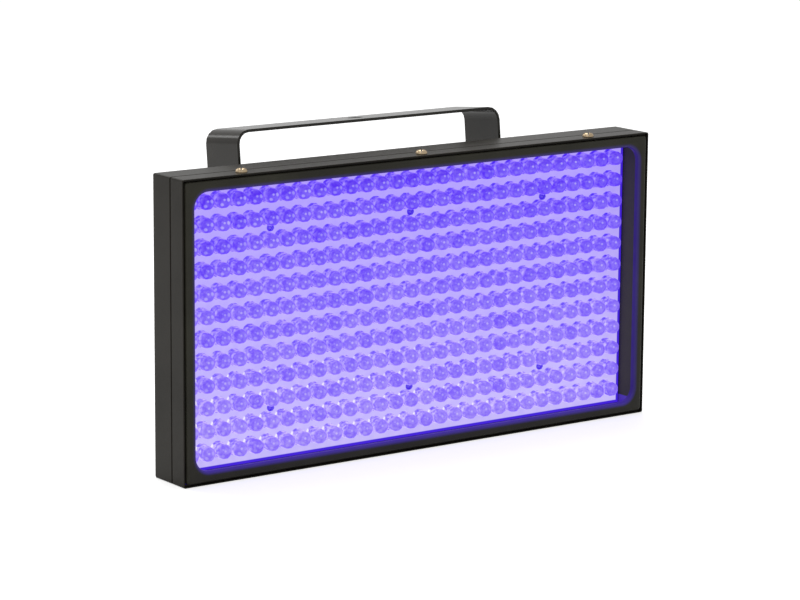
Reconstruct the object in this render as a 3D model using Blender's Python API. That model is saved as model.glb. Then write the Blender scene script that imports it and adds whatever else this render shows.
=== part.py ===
"""UV flood light: a flat steel casing full of 10 mm LEDs, with a rear housing and a hanging bracket.

Units are metres and +Z is up. The light looks along -Y. Everything is parented to one empty that
stands in the middle of the front plane, so inside the model y is the depth behind the front edge of
the casing and z is the height above the casing's middle. The origin of the whole part is the middle
of the rear housing's bottom face, which the light stands on with the bottom of its casing.
"""

import math

import bmesh
import bpy
from mathutils import Matrix, Vector

# Casing
CASE_WIDTH = 0.388
CASE_HEIGHT = 0.203
CASE_DEPTH = 0.0366
SHEET = 0.0008
CASE_CORNER = 0.0012
FRAME_EDGE = 0.00025
BACK_BEND = 0.0015
CORNER_STEPS = 2
FRAME_DEPTH = 0.0148
SEAM_GAP = 0.0006
INNER_WALL_FRONT = 0.0020

# Clearances
SEAT_GAP = 0.0003
NEST_GAP = 0.0003
HOLE_CLEARANCE = 0.0003

# Window bezel
BEZEL_SHEET = 0.0008
BEZEL_PROUD = 0.0010
BEZEL_BORDER = 0.0080
BEZEL_BEND = 0.0020
BEZEL_CORNER = 0.0020
WINDOW_CORNER = 0.0105
LIP_DEPTH = 0.0040

# LED board
BOARD_DEPTH = 0.0240
BOARD_THICKNESS = 0.0016
BOARD_EDGE_GAP = 0.0015
LED_PITCH_X = 0.0127
LED_PITCH_Z = 0.01524
LED_RADIUS = 0.0050
LED_TAPER = 0.0004
LED_SHOULDER = 0.0088
LED_HEIGHT = 0.0134
LED_SUNK = 0.0004
LED_SIDES = 5
LED_EDGE_GAP = 0.0010
ARRAY_DROP = 0.0015
STANDOFF_RADIUS = 0.0034

# Board screws, in pitches: in from the outer columns and rows, and right of the middle
BOARD_SCREW_LEFT = 5.25
BOARD_SCREW_RIGHT = 4.75
BOARD_SCREW_ASIDE = 0.25
BOARD_SCREW_ROWS_IN = 1.5

# Screws, as shank radius, head radius, head height
M4_SCREW = (0.0020, 0.0040, 0.0025)
M3_SCREW = (0.0015, 0.0027, 0.0020)
HEAD_FLAT = 0.60
HEAD_EDGE = 0.30
HEAD_RIM = 0.0002
BEZEL_SCREW_INSET = 0.0495
BEZEL_SCREW_DEPTH = 0.0070
BEZEL_SCREW_LENGTH = 0.0055
COUNTERSUNK_SIDES = 8
BOARD_SCREW_LENGTH = 0.0070
HOUSING_SCREW_LENGTH = 0.0040

# Rear housing
HOUSING_HEIGHT = 0.1643
HOUSING_DEPTH = 0.0620
HOUSING_SHEET = 0.0012
HOUSING_BEND = 0.0020
FLANGE_WIDTH = 0.0140
FLANGE_SCREW_OUT = 0.0094
FLANGE_SCREW_INSET = 0.0180

# Hanging bracket
BRACKET_HALF_WIDTH = 0.1105
BRACKET_SHEET = 0.0020
BRACKET_STRAP = 0.0395
BRACKET_BEND = 0.0095
BRACKET_RISE = 0.1175
BRACKET_LEAN = 6.3
PIVOT_BEHIND_CASE = 0.0352
HANGING_HOLE = 0.0055
LEG_END_TURN = 80
LEG_END_STEPS = 6
BRACKET_BEND_STEPS = 4

# Pivot hardware
STUD_RADIUS = 0.0040
BUSH_WALL = 0.0017
BUSH_FLANGE = 0.0085
BUSH_FLANGE_THICKNESS = 0.0012
BUSH_LENGTH = 0.0120
WASHER_RADIUS = 0.0105
WASHER_THICKNESS = 0.0020
KNOB_RADIUS = 0.0165
KNOB_LOBE = 0.0018
KNOB_LOBES = 6
KNOB_HUB_RADIUS = 0.0085
KNOB_HUB_LENGTH = 0.0070
KNOB_HEAD_LENGTH = 0.0150
KNOB_EDGE = 0.0030
KNOB_BORE_DEPTH = 0.0120

# Ventilation, slots as length and width
SLOT_END = 0.45
BACK_VENT = (0.0480, 0.0030)
BACK_VENT_ROWS = 7
BACK_VENT_STEP = 0.0150
BACK_VENT_EDGE = 0.0120
REAR_VENT = (0.0300, 0.0030)
REAR_VENT_ROWS = 5
REAR_VENT_STEP = 0.0090
REAR_VENT_EDGE = 0.0134
REAR_VENT_DROP = 0.0310

# Rear panel: a drop is from the housing's top, a rise from its bottom, an inset from its side
DISPLAY_DROP = 0.0260
DISPLAY_SIZE = (0.0440, 0.0180)
DISPLAY_RIM = 0.0030
DISPLAY_LENS = 0.0016
BUTTON_DROP = 0.0500
BUTTON_STEP = 0.0180
BUTTON_COUNT = 4
BUTTON_RADIUS = 0.0040
BUTTON_HEIGHT = 0.0030
BUTTON_FLANGE = 0.0055
BUTTON_BASE = 0.0012
BUTTON_EDGE = 0.0006
BUTTON_TRAVEL = 0.0010
CONTROL_BOARD_GAP = 0.0090
CONTROL_BOARD_SIZE = (0.0960, 0.0540)
BOARD_POST_RADIUS = 0.0027
SOCKET_RISE = 0.0643
DMX_INSET = 0.0304
DMX_STEP = 0.0360
DMX_FLANGE = (0.0260, 0.0310, 0.0020)
DMX_BODY_RADIUS = 0.0118
DMX_BORE_RADIUS = 0.0095
DMX_BODY_LENGTH = 0.0200
DMX_BORE_DEPTH = 0.0140
DMX_PIN_RADIUS = 0.0012
DMX_PIN_CIRCLE = 0.0052
LATCH_SIZE = (0.0080, 0.0050)
LATCH_PROUD = 0.0030
LATCH_TRAVEL = 0.0015
INLET_STEP = 0.0390
INLET_FLANGE = (0.0500, 0.0260, 0.0026)
INLET_BODY = (0.0280, 0.0205, 0.0190)
INLET_WALL = 0.0018
INLET_CORNER = 0.0045
INLET_CAVITY_DEPTH = 0.0150
BLADE_SIZE = (0.0020, 0.0040)
BLADE_SPREAD = 0.0070
BLADE_OFFSET = 0.0020
BLADE_SHORT = 0.0015
BLADE_TAB = 0.0060
FUSE_INSET = 0.0154
FUSE_BODY_RADIUS = 0.0062
FUSE_FLANGE_RADIUS = 0.0085
FUSE_FLANGE = 0.0020
FUSE_BODY_LENGTH = 0.0280
FUSE_CAP_RADIUS = 0.0068
FUSE_CAP_HEIGHT = 0.0060
FUSE_CAP_EDGE = 0.0010
FUSE_SLOT = (0.0016, 0.0016)
FUSE_RADIUS = 0.0026
FUSE_LENGTH = 0.0200

# Inside the housing
SUPPLY_BASE = (0.1500, 0.0440, 0.0020)
SUPPLY_TRANSFORMER = (0.0460, 0.0340, 0.0360)
SUPPLY_CAPACITOR = (0.0080, 0.0300)
CAPACITOR_COUNT = 3
CAPACITOR_STEP = 0.0192
GROMMET_RADIUS = 0.0080
GROMMET_BORE = 0.0050
GROMMET_LIP = 0.0008
GROMMET_PLACE = (0.0, -0.0100)

# Places that follow from the sizes
HALF_WIDTH = CASE_WIDTH / 2
HALF_HEIGHT = CASE_HEIGHT / 2
BEZEL_INSET = 2 * (SHEET + NEST_GAP)
BOARD_INSET = BEZEL_INSET + BEZEL_SHEET + BOARD_EDGE_GAP
BOARD_HALF_WIDTH = HALF_WIDTH - BOARD_INSET
BOARD_HALF_HEIGHT = HALF_HEIGHT - BOARD_INSET
LED_REACH = LED_RADIUS + LED_EDGE_GAP
LED_COLUMNS = 1 + int(2 * (BOARD_HALF_WIDTH - LED_REACH) / LED_PITCH_X)
LED_ROWS = 1 + int(2 * (BOARD_HALF_HEIGHT - LED_REACH - ARRAY_DROP) / LED_PITCH_Z)
BACK_INSIDE = CASE_DEPTH - SHEET
SEAM_DEPTH = FRAME_DEPTH + SEAM_GAP
STACK = BUSH_FLANGE_THICKNESS + WASHER_THICKNESS + 3 * SEAT_GAP
HOUSING_HALF = BRACKET_HALF_WIDTH - BRACKET_SHEET - STACK
HOUSING_FRONT = CASE_DEPTH + SEAT_GAP
HOUSING_REAR = HOUSING_FRONT + HOUSING_DEPTH
HOUSING_BOTTOM = -HALF_HEIGHT
HOUSING_TOP = HOUSING_BOTTOM + HOUSING_HEIGHT
PIVOT_DEPTH = CASE_DEPTH + PIVOT_BEHIND_CASE
PANEL_INSIDE = HOUSING_REAR - HOUSING_SHEET
FLANGE_FACE = HOUSING_FRONT + HOUSING_SHEET
DISPLAY_PLACE = (0.0, HOUSING_TOP - DISPLAY_DROP)
BUTTON_LEVEL = HOUSING_TOP - BUTTON_DROP
SOCKET_HEIGHT = HOUSING_BOTTOM + SOCKET_RISE
DMX_OUT_PLACE = (HOUSING_HALF - DMX_INSET, SOCKET_HEIGHT)
DMX_IN_PLACE = (DMX_OUT_PLACE[0] - DMX_STEP, SOCKET_HEIGHT)
FUSE_PLACE = (FUSE_INSET - HOUSING_HALF, SOCKET_HEIGHT)
INLET_PLACE = (FUSE_PLACE[0] + INLET_STEP, SOCKET_HEIGHT)
LATCH_MIDDLE = DMX_FLANGE[1] / 2 - DMX_FLANGE[2] - LATCH_SIZE[1] / 2

FACE_BACK = Matrix.Rotation(math.radians(-90), 4, "X")
FACE_FRONT = Matrix.Rotation(math.radians(90), 4, "X")
FACE_RIGHT = Matrix.Rotation(math.radians(90), 4, "Y")
FACE_LEFT = Matrix.Rotation(math.radians(-90), 4, "Y")
FACE_UP = Matrix.Identity(4)
FACE_DOWN = Matrix.Rotation(math.radians(180), 4, "X")


def clear_scene():
    """Remove every object that the file opened with."""
    for thing in list(bpy.data.objects):
        bpy.data.objects.remove(thing, do_unlink=True)


def make_finish(name, colour, roughness, metallic=0.0):
    """Principled material with one colour."""
    finish = bpy.data.materials.new(name)
    finish.use_nodes = True
    shader = finish.node_tree.nodes["Principled BSDF"]
    shader.inputs["Base Color"].default_value = (*colour, 1.0)
    shader.inputs["Roughness"].default_value = roughness
    shader.inputs["Metallic"].default_value = metallic
    return finish


def add_empty(name, parent=None, place=(0, 0, 0), turn=(0, 0, 0)):
    """Empty that carries the pieces of one assembly."""
    empty = bpy.data.objects.new(name, None)
    bpy.context.scene.collection.objects.link(empty)
    empty.parent = parent
    empty.location = place
    empty.rotation_euler = turn
    return empty


def add_solid(name, bm, parent, finish=None, place=(0, 0, 0)):
    """Turn a bmesh into an object; one with no finish is a cutter or a guide."""
    bmesh.ops.recalc_face_normals(bm, faces=bm.faces)
    mesh = bpy.data.meshes.new(name)
    bm.to_mesh(mesh)
    bm.free()
    solid = bpy.data.objects.new(name, mesh)
    bpy.context.scene.collection.objects.link(solid)
    solid.parent = parent
    solid.location = place
    if finish is None:
        solid.display_type = "WIRE"
        solid.hide_render = True
    else:
        mesh.materials.append(finish)
        mesh.shade_smooth()
        mesh.set_sharp_from_angle(angle=math.radians(32))
    return solid


def combine(solid, tool, operation):
    """Boolean the tool into the solid, leaving the modifier live."""
    step = solid.modifiers.new(tool.name, "BOOLEAN")
    step.operation = operation
    step.solver = "EXACT"
    step.object = tool


def put_box(bm, low, high):
    """Box between two corners."""
    size = [b - a for a, b in zip(low, high)]
    middle = [(a + b) / 2 for a, b in zip(low, high)]
    place = Matrix.Translation(middle) @ Matrix.Diagonal((*size, 1.0))
    bmesh.ops.create_cube(bm, size=1.0, matrix=place)


def put_rod(bm, radius, length, place, facing, sides=12):
    """Cylinder that starts at a place and runs along the way it faces."""
    matrix = Matrix.Translation(place) @ facing @ Matrix.Translation((0, 0, length / 2))
    bmesh.ops.create_cone(bm, cap_ends=True, segments=sides, radius1=radius, radius2=radius,
                          depth=length, matrix=matrix)


def turned(profile, facing, sides=12):
    """Solid of revolution from radius and height pairs; it starts and ends on its axis."""
    bm = bmesh.new()
    start = [bm.verts.new((radius, 0.0, height)) for radius, height in profile]
    edges = [bm.edges.new(pair) for pair in zip(start, start[1:])]
    bmesh.ops.spin(bm, geom=start + edges, cent=(0, 0, 0), axis=(0, 0, 1), angle=math.tau,
                   steps=sides, use_merge=True)
    bmesh.ops.remove_doubles(bm, verts=bm.verts, dist=1e-7)
    bmesh.ops.transform(bm, matrix=facing, verts=bm.verts)
    return bm


def turned_ring(outline, facing, sides=12):
    """Ring from a closed outline of radius and height pairs that stays off its axis."""
    bm = bmesh.new()
    loops = []
    for radius, height in outline:
        loops.append([(radius * math.cos(math.tau * k / sides),
                       radius * math.sin(math.tau * k / sides), height) for k in range(sides)])
    put_loft(bm, loops, closed=True)
    bmesh.ops.transform(bm, matrix=facing, verts=bm.verts)
    return bm


def rounded_rectangle(half_width, half_height, radius, steps):
    """Points round a rectangle with round corners, counter-clockwise seen from the front."""
    points = []
    for turn, (side, up) in enumerate(((1, 1), (-1, 1), (-1, -1), (1, -1))):
        for step in range(steps + 1):
            angle = math.radians(90) * (turn + step / steps)
            points.append((side * (half_width - radius) + radius * math.cos(angle),
                           up * (half_height - radius) + radius * math.sin(angle)))
    return points


def put_loft(bm, loops, closed=False):
    """Skin loops of equal length; an open row is capped, a closed one joins its ends."""
    rings = [[bm.verts.new(point) for point in loop] for loop in loops]
    pairs = list(zip(rings, rings[1:]))
    if closed:
        pairs.append((rings[-1], rings[0]))
    for near, far in pairs:
        for k in range(len(near)):
            after = (k + 1) % len(near)
            bm.faces.new((near[k], near[after], far[after], far[k]))
    if not closed:
        bm.faces.new(rings[0])
        bm.faces.new(rings[-1])


def casing_loop(inset, depth, corner, steps):
    """Loop round the casing, set in from its outside by an inset."""
    outline = rounded_rectangle(HALF_WIDTH - inset, HALF_HEIGHT - inset, corner, steps)
    return [(x, depth, z) for x, z in outline]


def inner_corner(inset):
    """Corner radius of a wall's face that lies inside the casing's outside."""
    return max(CASE_CORNER - inset, CASE_CORNER / 4)


def bend_points(radius, inset, depth, steps=2):
    """Quarter bend from a side wall round into a wall across the depth, as inset and depth."""
    points = []
    for step in range(steps + 1):
        angle = math.radians(90) * step / steps
        points.append((inset + radius * (1 - math.cos(angle)),
                       depth - radius * (1 - math.sin(angle))))
    return points


def put_slot(bm, length, width, x, z, depth_from, depth_to):
    """Slot with round ends, cut along the depth."""
    outline = rounded_rectangle(length / 2, width / 2, width * SLOT_END, 1)
    put_loft(bm, [[(x + px, depth, z + pz) for px, pz in outline]
                  for depth in (depth_from, depth_to)])


def turned_screw(screw, length, facing, sides):
    """Pan-head screw whose head sits on the plane z = 0 and faces outwards."""
    shank, head, height = screw
    return turned([(0.0, height), (head * HEAD_FLAT, height), (head, height * HEAD_EDGE),
                   (head, 0.0), (shank, 0.0), (shank, -length), (0.0, -length)], facing, sides)


def put_countersunk(bm, spare, above, place, facing):
    """Countersunk M4 screw whose flat head is at a place, or its hole where room is left round it."""
    shank, head, _ = M4_SCREW
    matrix = Matrix.Translation(place) @ facing
    profile = [(head + spare, above), (head + spare, -HEAD_RIM),
               (shank + spare, shank - head - HEAD_RIM), (shank + spare, -BEZEL_SCREW_LENGTH - spare)]
    turns = [math.tau * k / COUNTERSUNK_SIDES for k in range(COUNTERSUNK_SIDES)]
    put_loft(bm, [[matrix @ Vector((radius * math.cos(turn), radius * math.sin(turn), height))
                   for turn in turns] for radius, height in profile])


def bezel_screw_places():
    """Middle of each bezel screw as a name, x and the side of the casing it is on."""
    reach = HALF_WIDTH - BEZEL_SCREW_INSET
    spots = (("left", -reach), ("middle", 0.0), ("right", reach))
    return [(side, name, x, up) for side, up in (("top", 1), ("bottom", -1)) for name, x in spots]


def bezel_screw_cutter(name, parent, inner, outer):
    """Clearance holes through the top wall between two insets, and sunk holes in the bottom."""
    bm = bmesh.new()
    for _, _, x, up in bezel_screw_places():
        if up > 0:
            put_rod(bm, M4_SCREW[0] + HOLE_CLEARANCE, outer - inner,
                    (x, BEZEL_SCREW_DEPTH, HALF_HEIGHT - outer), FACE_UP, 8)
        else:
            put_countersunk(bm, HOLE_CLEARANCE, SHEET, (x, BEZEL_SCREW_DEPTH, -HALF_HEIGHT),
                            FACE_DOWN)
    return add_solid(name, bm, parent)


def board_screw_places():
    """Places of the board's screws, between the rows and columns of LEDs."""
    outer_column = (LED_COLUMNS - 1) / 2
    outer_row = (LED_ROWS - 1) / 2 - BOARD_SCREW_ROWS_IN
    columns = (BOARD_SCREW_LEFT - outer_column, BOARD_SCREW_ASIDE,
               outer_column - BOARD_SCREW_RIGHT)
    return [(column * LED_PITCH_X, row * LED_PITCH_Z - ARRAY_DROP)
            for row in (-outer_row, outer_row) for column in columns]


def housing_screw_places():
    """Places of the four screws through the rear housing's side flanges."""
    reach = HOUSING_HALF + FLANGE_SCREW_OUT
    heights = (HOUSING_BOTTOM + FLANGE_SCREW_INSET, HOUSING_TOP - FLANGE_SCREW_INSET)
    return [(side * reach, height) for height in heights for side in (-1, 1)]


def make_rear_casing(parent, finish):
    """Folded tray: back wall, four sides and a joggled wall that runs forward inside the frame."""
    fold = SHEET + NEST_GAP
    inner_bend = max(BACK_BEND - SHEET, SHEET / 4)
    outline = [(inset, depth) for inset, depth in
               reversed(bend_points(inner_bend, SHEET, BACK_INSIDE))]
    outline += [(SHEET, SEAM_DEPTH + SHEET), (fold + SHEET, SEAM_DEPTH + SHEET - SEAM_GAP / 2),
                (fold + SHEET, INNER_WALL_FRONT), (fold, INNER_WALL_FRONT),
                (fold, SEAM_DEPTH - SEAM_GAP / 2), (0.0, SEAM_DEPTH)]
    outline += bend_points(BACK_BEND, 0.0, CASE_DEPTH)
    bm = bmesh.new()
    put_loft(bm, [casing_loop(inset, depth, inner_corner(inset), CORNER_STEPS)
                  for inset, depth in outline])
    casing = add_solid("rear_casing", bm, parent, finish)

    bm = bmesh.new()
    foot = BACK_INSIDE + SHEET / 2
    top = BOARD_DEPTH + BOARD_THICKNESS + SEAT_GAP
    for x, z in board_screw_places():
        put_rod(bm, STANDOFF_RADIUS, foot - top, (x, foot, z), FACE_FRONT, 6)
    combine(casing, add_solid("standoffs", bm, parent), "UNION")

    bm = bmesh.new()
    bore = M3_SCREW[0] + HOLE_CLEARANCE
    behind = CASE_DEPTH + SHEET
    for x, z in board_screw_places():
        put_rod(bm, bore, BOARD_SCREW_LENGTH, (x, top + BOARD_SCREW_LENGTH - SHEET, z),
                FACE_FRONT, 8)
    tip = FLANGE_FACE - HOUSING_SCREW_LENGTH - HOLE_CLEARANCE
    for x, z in housing_screw_places():
        put_rod(bm, bore, behind - tip, (x, tip, z), FACE_BACK, 8)
    put_rod(bm, GROMMET_RADIUS + HOLE_CLEARANCE, behind - BACK_INSIDE + SHEET,
            (GROMMET_PLACE[0], BACK_INSIDE - SHEET, GROMMET_PLACE[1]), FACE_BACK, 16)
    length, width = BACK_VENT
    middle = HALF_WIDTH - BACK_VENT_EDGE - length / 2
    for row in range(BACK_VENT_ROWS):
        height = (row - (BACK_VENT_ROWS - 1) / 2) * BACK_VENT_STEP
        for side in (-1, 1):
            put_slot(bm, length, width, side * middle, height, BACK_INSIDE - SHEET, behind)
    combine(casing, add_solid("casing_holes", bm, parent), "DIFFERENCE")
    holes = bezel_screw_cutter("casing_screw_holes", parent, fold - NEST_GAP / 2,
                               fold + SHEET + NEST_GAP / 2)
    combine(casing, holes, "DIFFERENCE")


def make_front_frame(parent, finish):
    """Plain ring of folded strip that covers the joint round the front."""
    outline = [(0.0, FRAME_DEPTH), (SHEET, FRAME_DEPTH), (SHEET, 0.0), (FRAME_EDGE, 0.0),
               (0.0, FRAME_EDGE)]
    bm = bmesh.new()
    put_loft(bm, [casing_loop(inset, depth, inner_corner(inset), CORNER_STEPS)
                  for inset, depth in outline], closed=True)
    ring = add_solid("front_frame", bm, parent, finish)
    holes = bezel_screw_cutter("frame_screw_holes", parent, -SHEET, SHEET + NEST_GAP / 2)
    combine(ring, holes, "DIFFERENCE")


def make_window_bezel(parent, finish):
    """Folded bezel: deep outer flange, narrow face and a rolled lip round the window."""
    face = -BEZEL_PROUD
    flange_end = BOARD_DEPTH - SEAT_GAP
    lip_end = face + LIP_DEPTH
    outside = BEZEL_INSET
    outline = [(outside, flange_end, BEZEL_CORNER)]
    for step in range(3):
        angle = math.radians(45) * step
        outline.append((outside + BEZEL_BEND * (1 - math.cos(angle)),
                        face + BEZEL_BEND * (1 - math.sin(angle)), BEZEL_CORNER))
    for step in range(3):
        angle = math.radians(45) * step
        inset = BEZEL_BORDER - BEZEL_BEND * (1 - math.sin(angle))
        outline.append((inset, face + BEZEL_BEND * (1 - math.cos(angle)),
                        WINDOW_CORNER + BEZEL_BORDER - inset))
    behind = BEZEL_BORDER - BEZEL_SHEET
    back_corner = WINDOW_CORNER + BEZEL_SHEET
    outline += [(BEZEL_BORDER, lip_end, WINDOW_CORNER), (behind, lip_end, back_corner),
                (behind, face + BEZEL_BEND, back_corner),
                (BEZEL_BORDER - BEZEL_BEND, face + BEZEL_SHEET, WINDOW_CORNER + BEZEL_BEND),
                (outside + BEZEL_BEND, face + BEZEL_SHEET, BEZEL_CORNER),
                (outside + BEZEL_SHEET, face + BEZEL_BEND, BEZEL_CORNER),
                (outside + BEZEL_SHEET, flange_end, BEZEL_CORNER)]
    bm = bmesh.new()
    put_loft(bm, [casing_loop(inset, depth, corner, 4) for inset, depth, corner in outline],
             closed=True)
    bezel = add_solid("window_bezel", bm, parent, finish)
    holes = bezel_screw_cutter("bezel_screw_holes", parent, outside - NEST_GAP / 2,
                               outside + BEZEL_SHEET + NEST_GAP / 2)
    combine(bezel, holes, "DIFFERENCE")


def make_led_board(parent, finish):
    """Circuit board with its rows of domed LEDs, soldered down and so one piece with it."""
    bm = bmesh.new()
    put_box(bm, (-BOARD_HALF_WIDTH, BOARD_DEPTH, -BOARD_HALF_HEIGHT),
            (BOARD_HALF_WIDTH, BOARD_DEPTH + BOARD_THICKNESS, BOARD_HALF_HEIGHT))
    board = add_solid("led_board", bm, parent, finish)

    profile = [(0.0, LED_HEIGHT), (LED_RADIUS - LED_TAPER, LED_SHOULDER), (LED_RADIUS, -LED_SUNK),
               (0.0, -LED_SUNK)]
    corner = (-(LED_COLUMNS - 1) / 2 * LED_PITCH_X, BOARD_DEPTH,
              -(LED_ROWS - 1) / 2 * LED_PITCH_Z - ARRAY_DROP)
    leds = add_solid("led_array", turned(profile, FACE_FRONT, LED_SIDES), parent, None, corner)
    for count, step in ((LED_COLUMNS, (LED_PITCH_X, 0, 0)), (LED_ROWS, (0, 0, LED_PITCH_Z))):
        row = leds.modifiers.new("row", "ARRAY")
        row.count = count
        row.use_relative_offset = False
        row.use_constant_offset = True
        row.constant_offset_displace = step
    combine(board, leds, "UNION")

    bm = bmesh.new()
    for x, z in board_screw_places():
        put_rod(bm, M3_SCREW[0] + HOLE_CLEARANCE, 3 * BOARD_THICKNESS,
                (x, BOARD_DEPTH - BOARD_THICKNESS, z), FACE_BACK, 8)
    combine(board, add_solid("board_screw_holes", bm, parent), "DIFFERENCE")


def make_screws(parent, finish):
    """Every visible fastener of the casing: bezel, board and rear housing screws."""
    for side, name, x, up in bezel_screw_places():
        if up > 0:
            bm = turned_screw(M4_SCREW, BEZEL_SCREW_LENGTH, FACE_UP, 6)
            place = (x, BEZEL_SCREW_DEPTH, HALF_HEIGHT + SEAT_GAP)
        else:
            bm = bmesh.new()
            put_countersunk(bm, 0.0, 0.0, (0, 0, 0), FACE_DOWN)
            place = (x, BEZEL_SCREW_DEPTH, -HALF_HEIGHT)
        add_solid(f"{side}_screw_{name}", bm, parent, finish, place)
    for number, (x, z) in enumerate(board_screw_places(), 1):
        bm = turned_screw(M3_SCREW, BOARD_SCREW_LENGTH, FACE_FRONT, 6)
        add_solid(f"board_screw_{number}", bm, parent, finish, (x, BOARD_DEPTH - SEAT_GAP, z))
    for number, (x, z) in enumerate(housing_screw_places(), 1):
        bm = turned_screw(M3_SCREW, HOUSING_SCREW_LENGTH, FACE_BACK, 6)
        add_solid(f"housing_screw_{number}", bm, parent, finish, (x, FLANGE_FACE + SEAT_GAP, z))


def housing_loop(inset, depth, corner):
    """Loop round the rear housing, set in from its outside."""
    outline = rounded_rectangle(HOUSING_HALF - inset, HOUSING_HEIGHT / 2 - inset, corner, 2)
    middle = (HOUSING_BOTTOM + HOUSING_TOP) / 2
    return [(x, depth, middle + z) for x, z in outline]


def make_rear_housing(parent, finish):
    """Folded cover box for the electronics, with side flanges, cut-outs and air slots."""
    inner_bend = max(HOUSING_BEND - HOUSING_SHEET, HOUSING_SHEET / 4)
    outline = list(reversed(bend_points(inner_bend, HOUSING_SHEET, PANEL_INSIDE)))
    outline += [(HOUSING_SHEET, HOUSING_FRONT), (0.0, HOUSING_FRONT)]
    outline += bend_points(HOUSING_BEND, 0.0, HOUSING_REAR)
    bm = bmesh.new()
    put_loft(bm, [housing_loop(inset, depth, inner_bend) for inset, depth in outline])
    housing = add_solid("rear_housing", bm, parent, finish)

    bm = bmesh.new()
    for side in (-1, 1):
        near = side * (HOUSING_HALF - HOUSING_SHEET / 2)
        far = side * (HOUSING_HALF + FLANGE_WIDTH)
        put_box(bm, (min(near, far), HOUSING_FRONT, HOUSING_BOTTOM + HOUSING_BEND),
                (max(near, far), FLANGE_FACE, HOUSING_TOP - HOUSING_BEND))
    combine(housing, add_solid("housing_flanges", bm, parent), "UNION")

    bm = bmesh.new()
    start = PANEL_INSIDE - HOUSING_SHEET
    through = HOUSING_REAR + HOUSING_SHEET - start
    for x, z in housing_screw_places():
        put_rod(bm, M3_SCREW[0] + HOLE_CLEARANCE, through, (x, HOUSING_FRONT - HOUSING_SHEET, z),
                FACE_BACK, 8)
    for side, facing in ((-1, FACE_LEFT), (1, FACE_RIGHT)):
        put_rod(bm, STUD_RADIUS + HOLE_CLEARANCE + BUSH_WALL + HOLE_CLEARANCE, through,
                (side * (HOUSING_HALF - 2 * HOUSING_SHEET), PIVOT_DEPTH, 0), facing)
    for place in (DMX_IN_PLACE, DMX_OUT_PLACE):
        put_rod(bm, DMX_BODY_RADIUS + HOLE_CLEARANCE, through, (place[0], start, place[1]),
                FACE_BACK, 16)
    put_rod(bm, FUSE_BODY_RADIUS + HOLE_CLEARANCE, through, (FUSE_PLACE[0], start, FUSE_PLACE[1]),
            FACE_BACK)
    for x in button_places():
        put_rod(bm, BUTTON_RADIUS + HOLE_CLEARANCE, through, (x, start, BUTTON_LEVEL), FACE_BACK)
    for place, size in ((DISPLAY_PLACE, DISPLAY_SIZE), (INLET_PLACE, INLET_BODY)):
        reach = (size[0] / 2 + HOLE_CLEARANCE, size[1] / 2 + HOLE_CLEARANCE)
        put_box(bm, (place[0] - reach[0], start, place[1] - reach[1]),
                (place[0] + reach[0], start + through, place[1] + reach[1]))
    length, width = REAR_VENT
    middle = HOUSING_HALF - REAR_VENT_EDGE - length / 2
    for row in range(REAR_VENT_ROWS):
        height = (HOUSING_TOP - REAR_VENT_DROP
                  + (row - (REAR_VENT_ROWS - 1) / 2) * REAR_VENT_STEP)
        for side in (-1, 1):
            put_slot(bm, length, width, side * middle, height, start, start + through)
    combine(housing, add_solid("housing_holes", bm, parent), "DIFFERENCE")

    x, z = DMX_OUT_PLACE
    reach = LATCH_SIZE[0] / 2 + 2 * SEAT_GAP
    top = LATCH_MIDDLE + LATCH_SIZE[1] / 2 + 2 * SEAT_GAP
    bm = bmesh.new()
    put_box(bm, (x - reach, start, z), (x + reach, start + through, z + top))
    combine(housing, add_solid("latch_notch", bm, parent), "DIFFERENCE")


def button_places():
    """Middle of each menu button along x."""
    return [(number - (BUTTON_COUNT - 1) / 2) * BUTTON_STEP for number in range(BUTTON_COUNT)]


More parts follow.
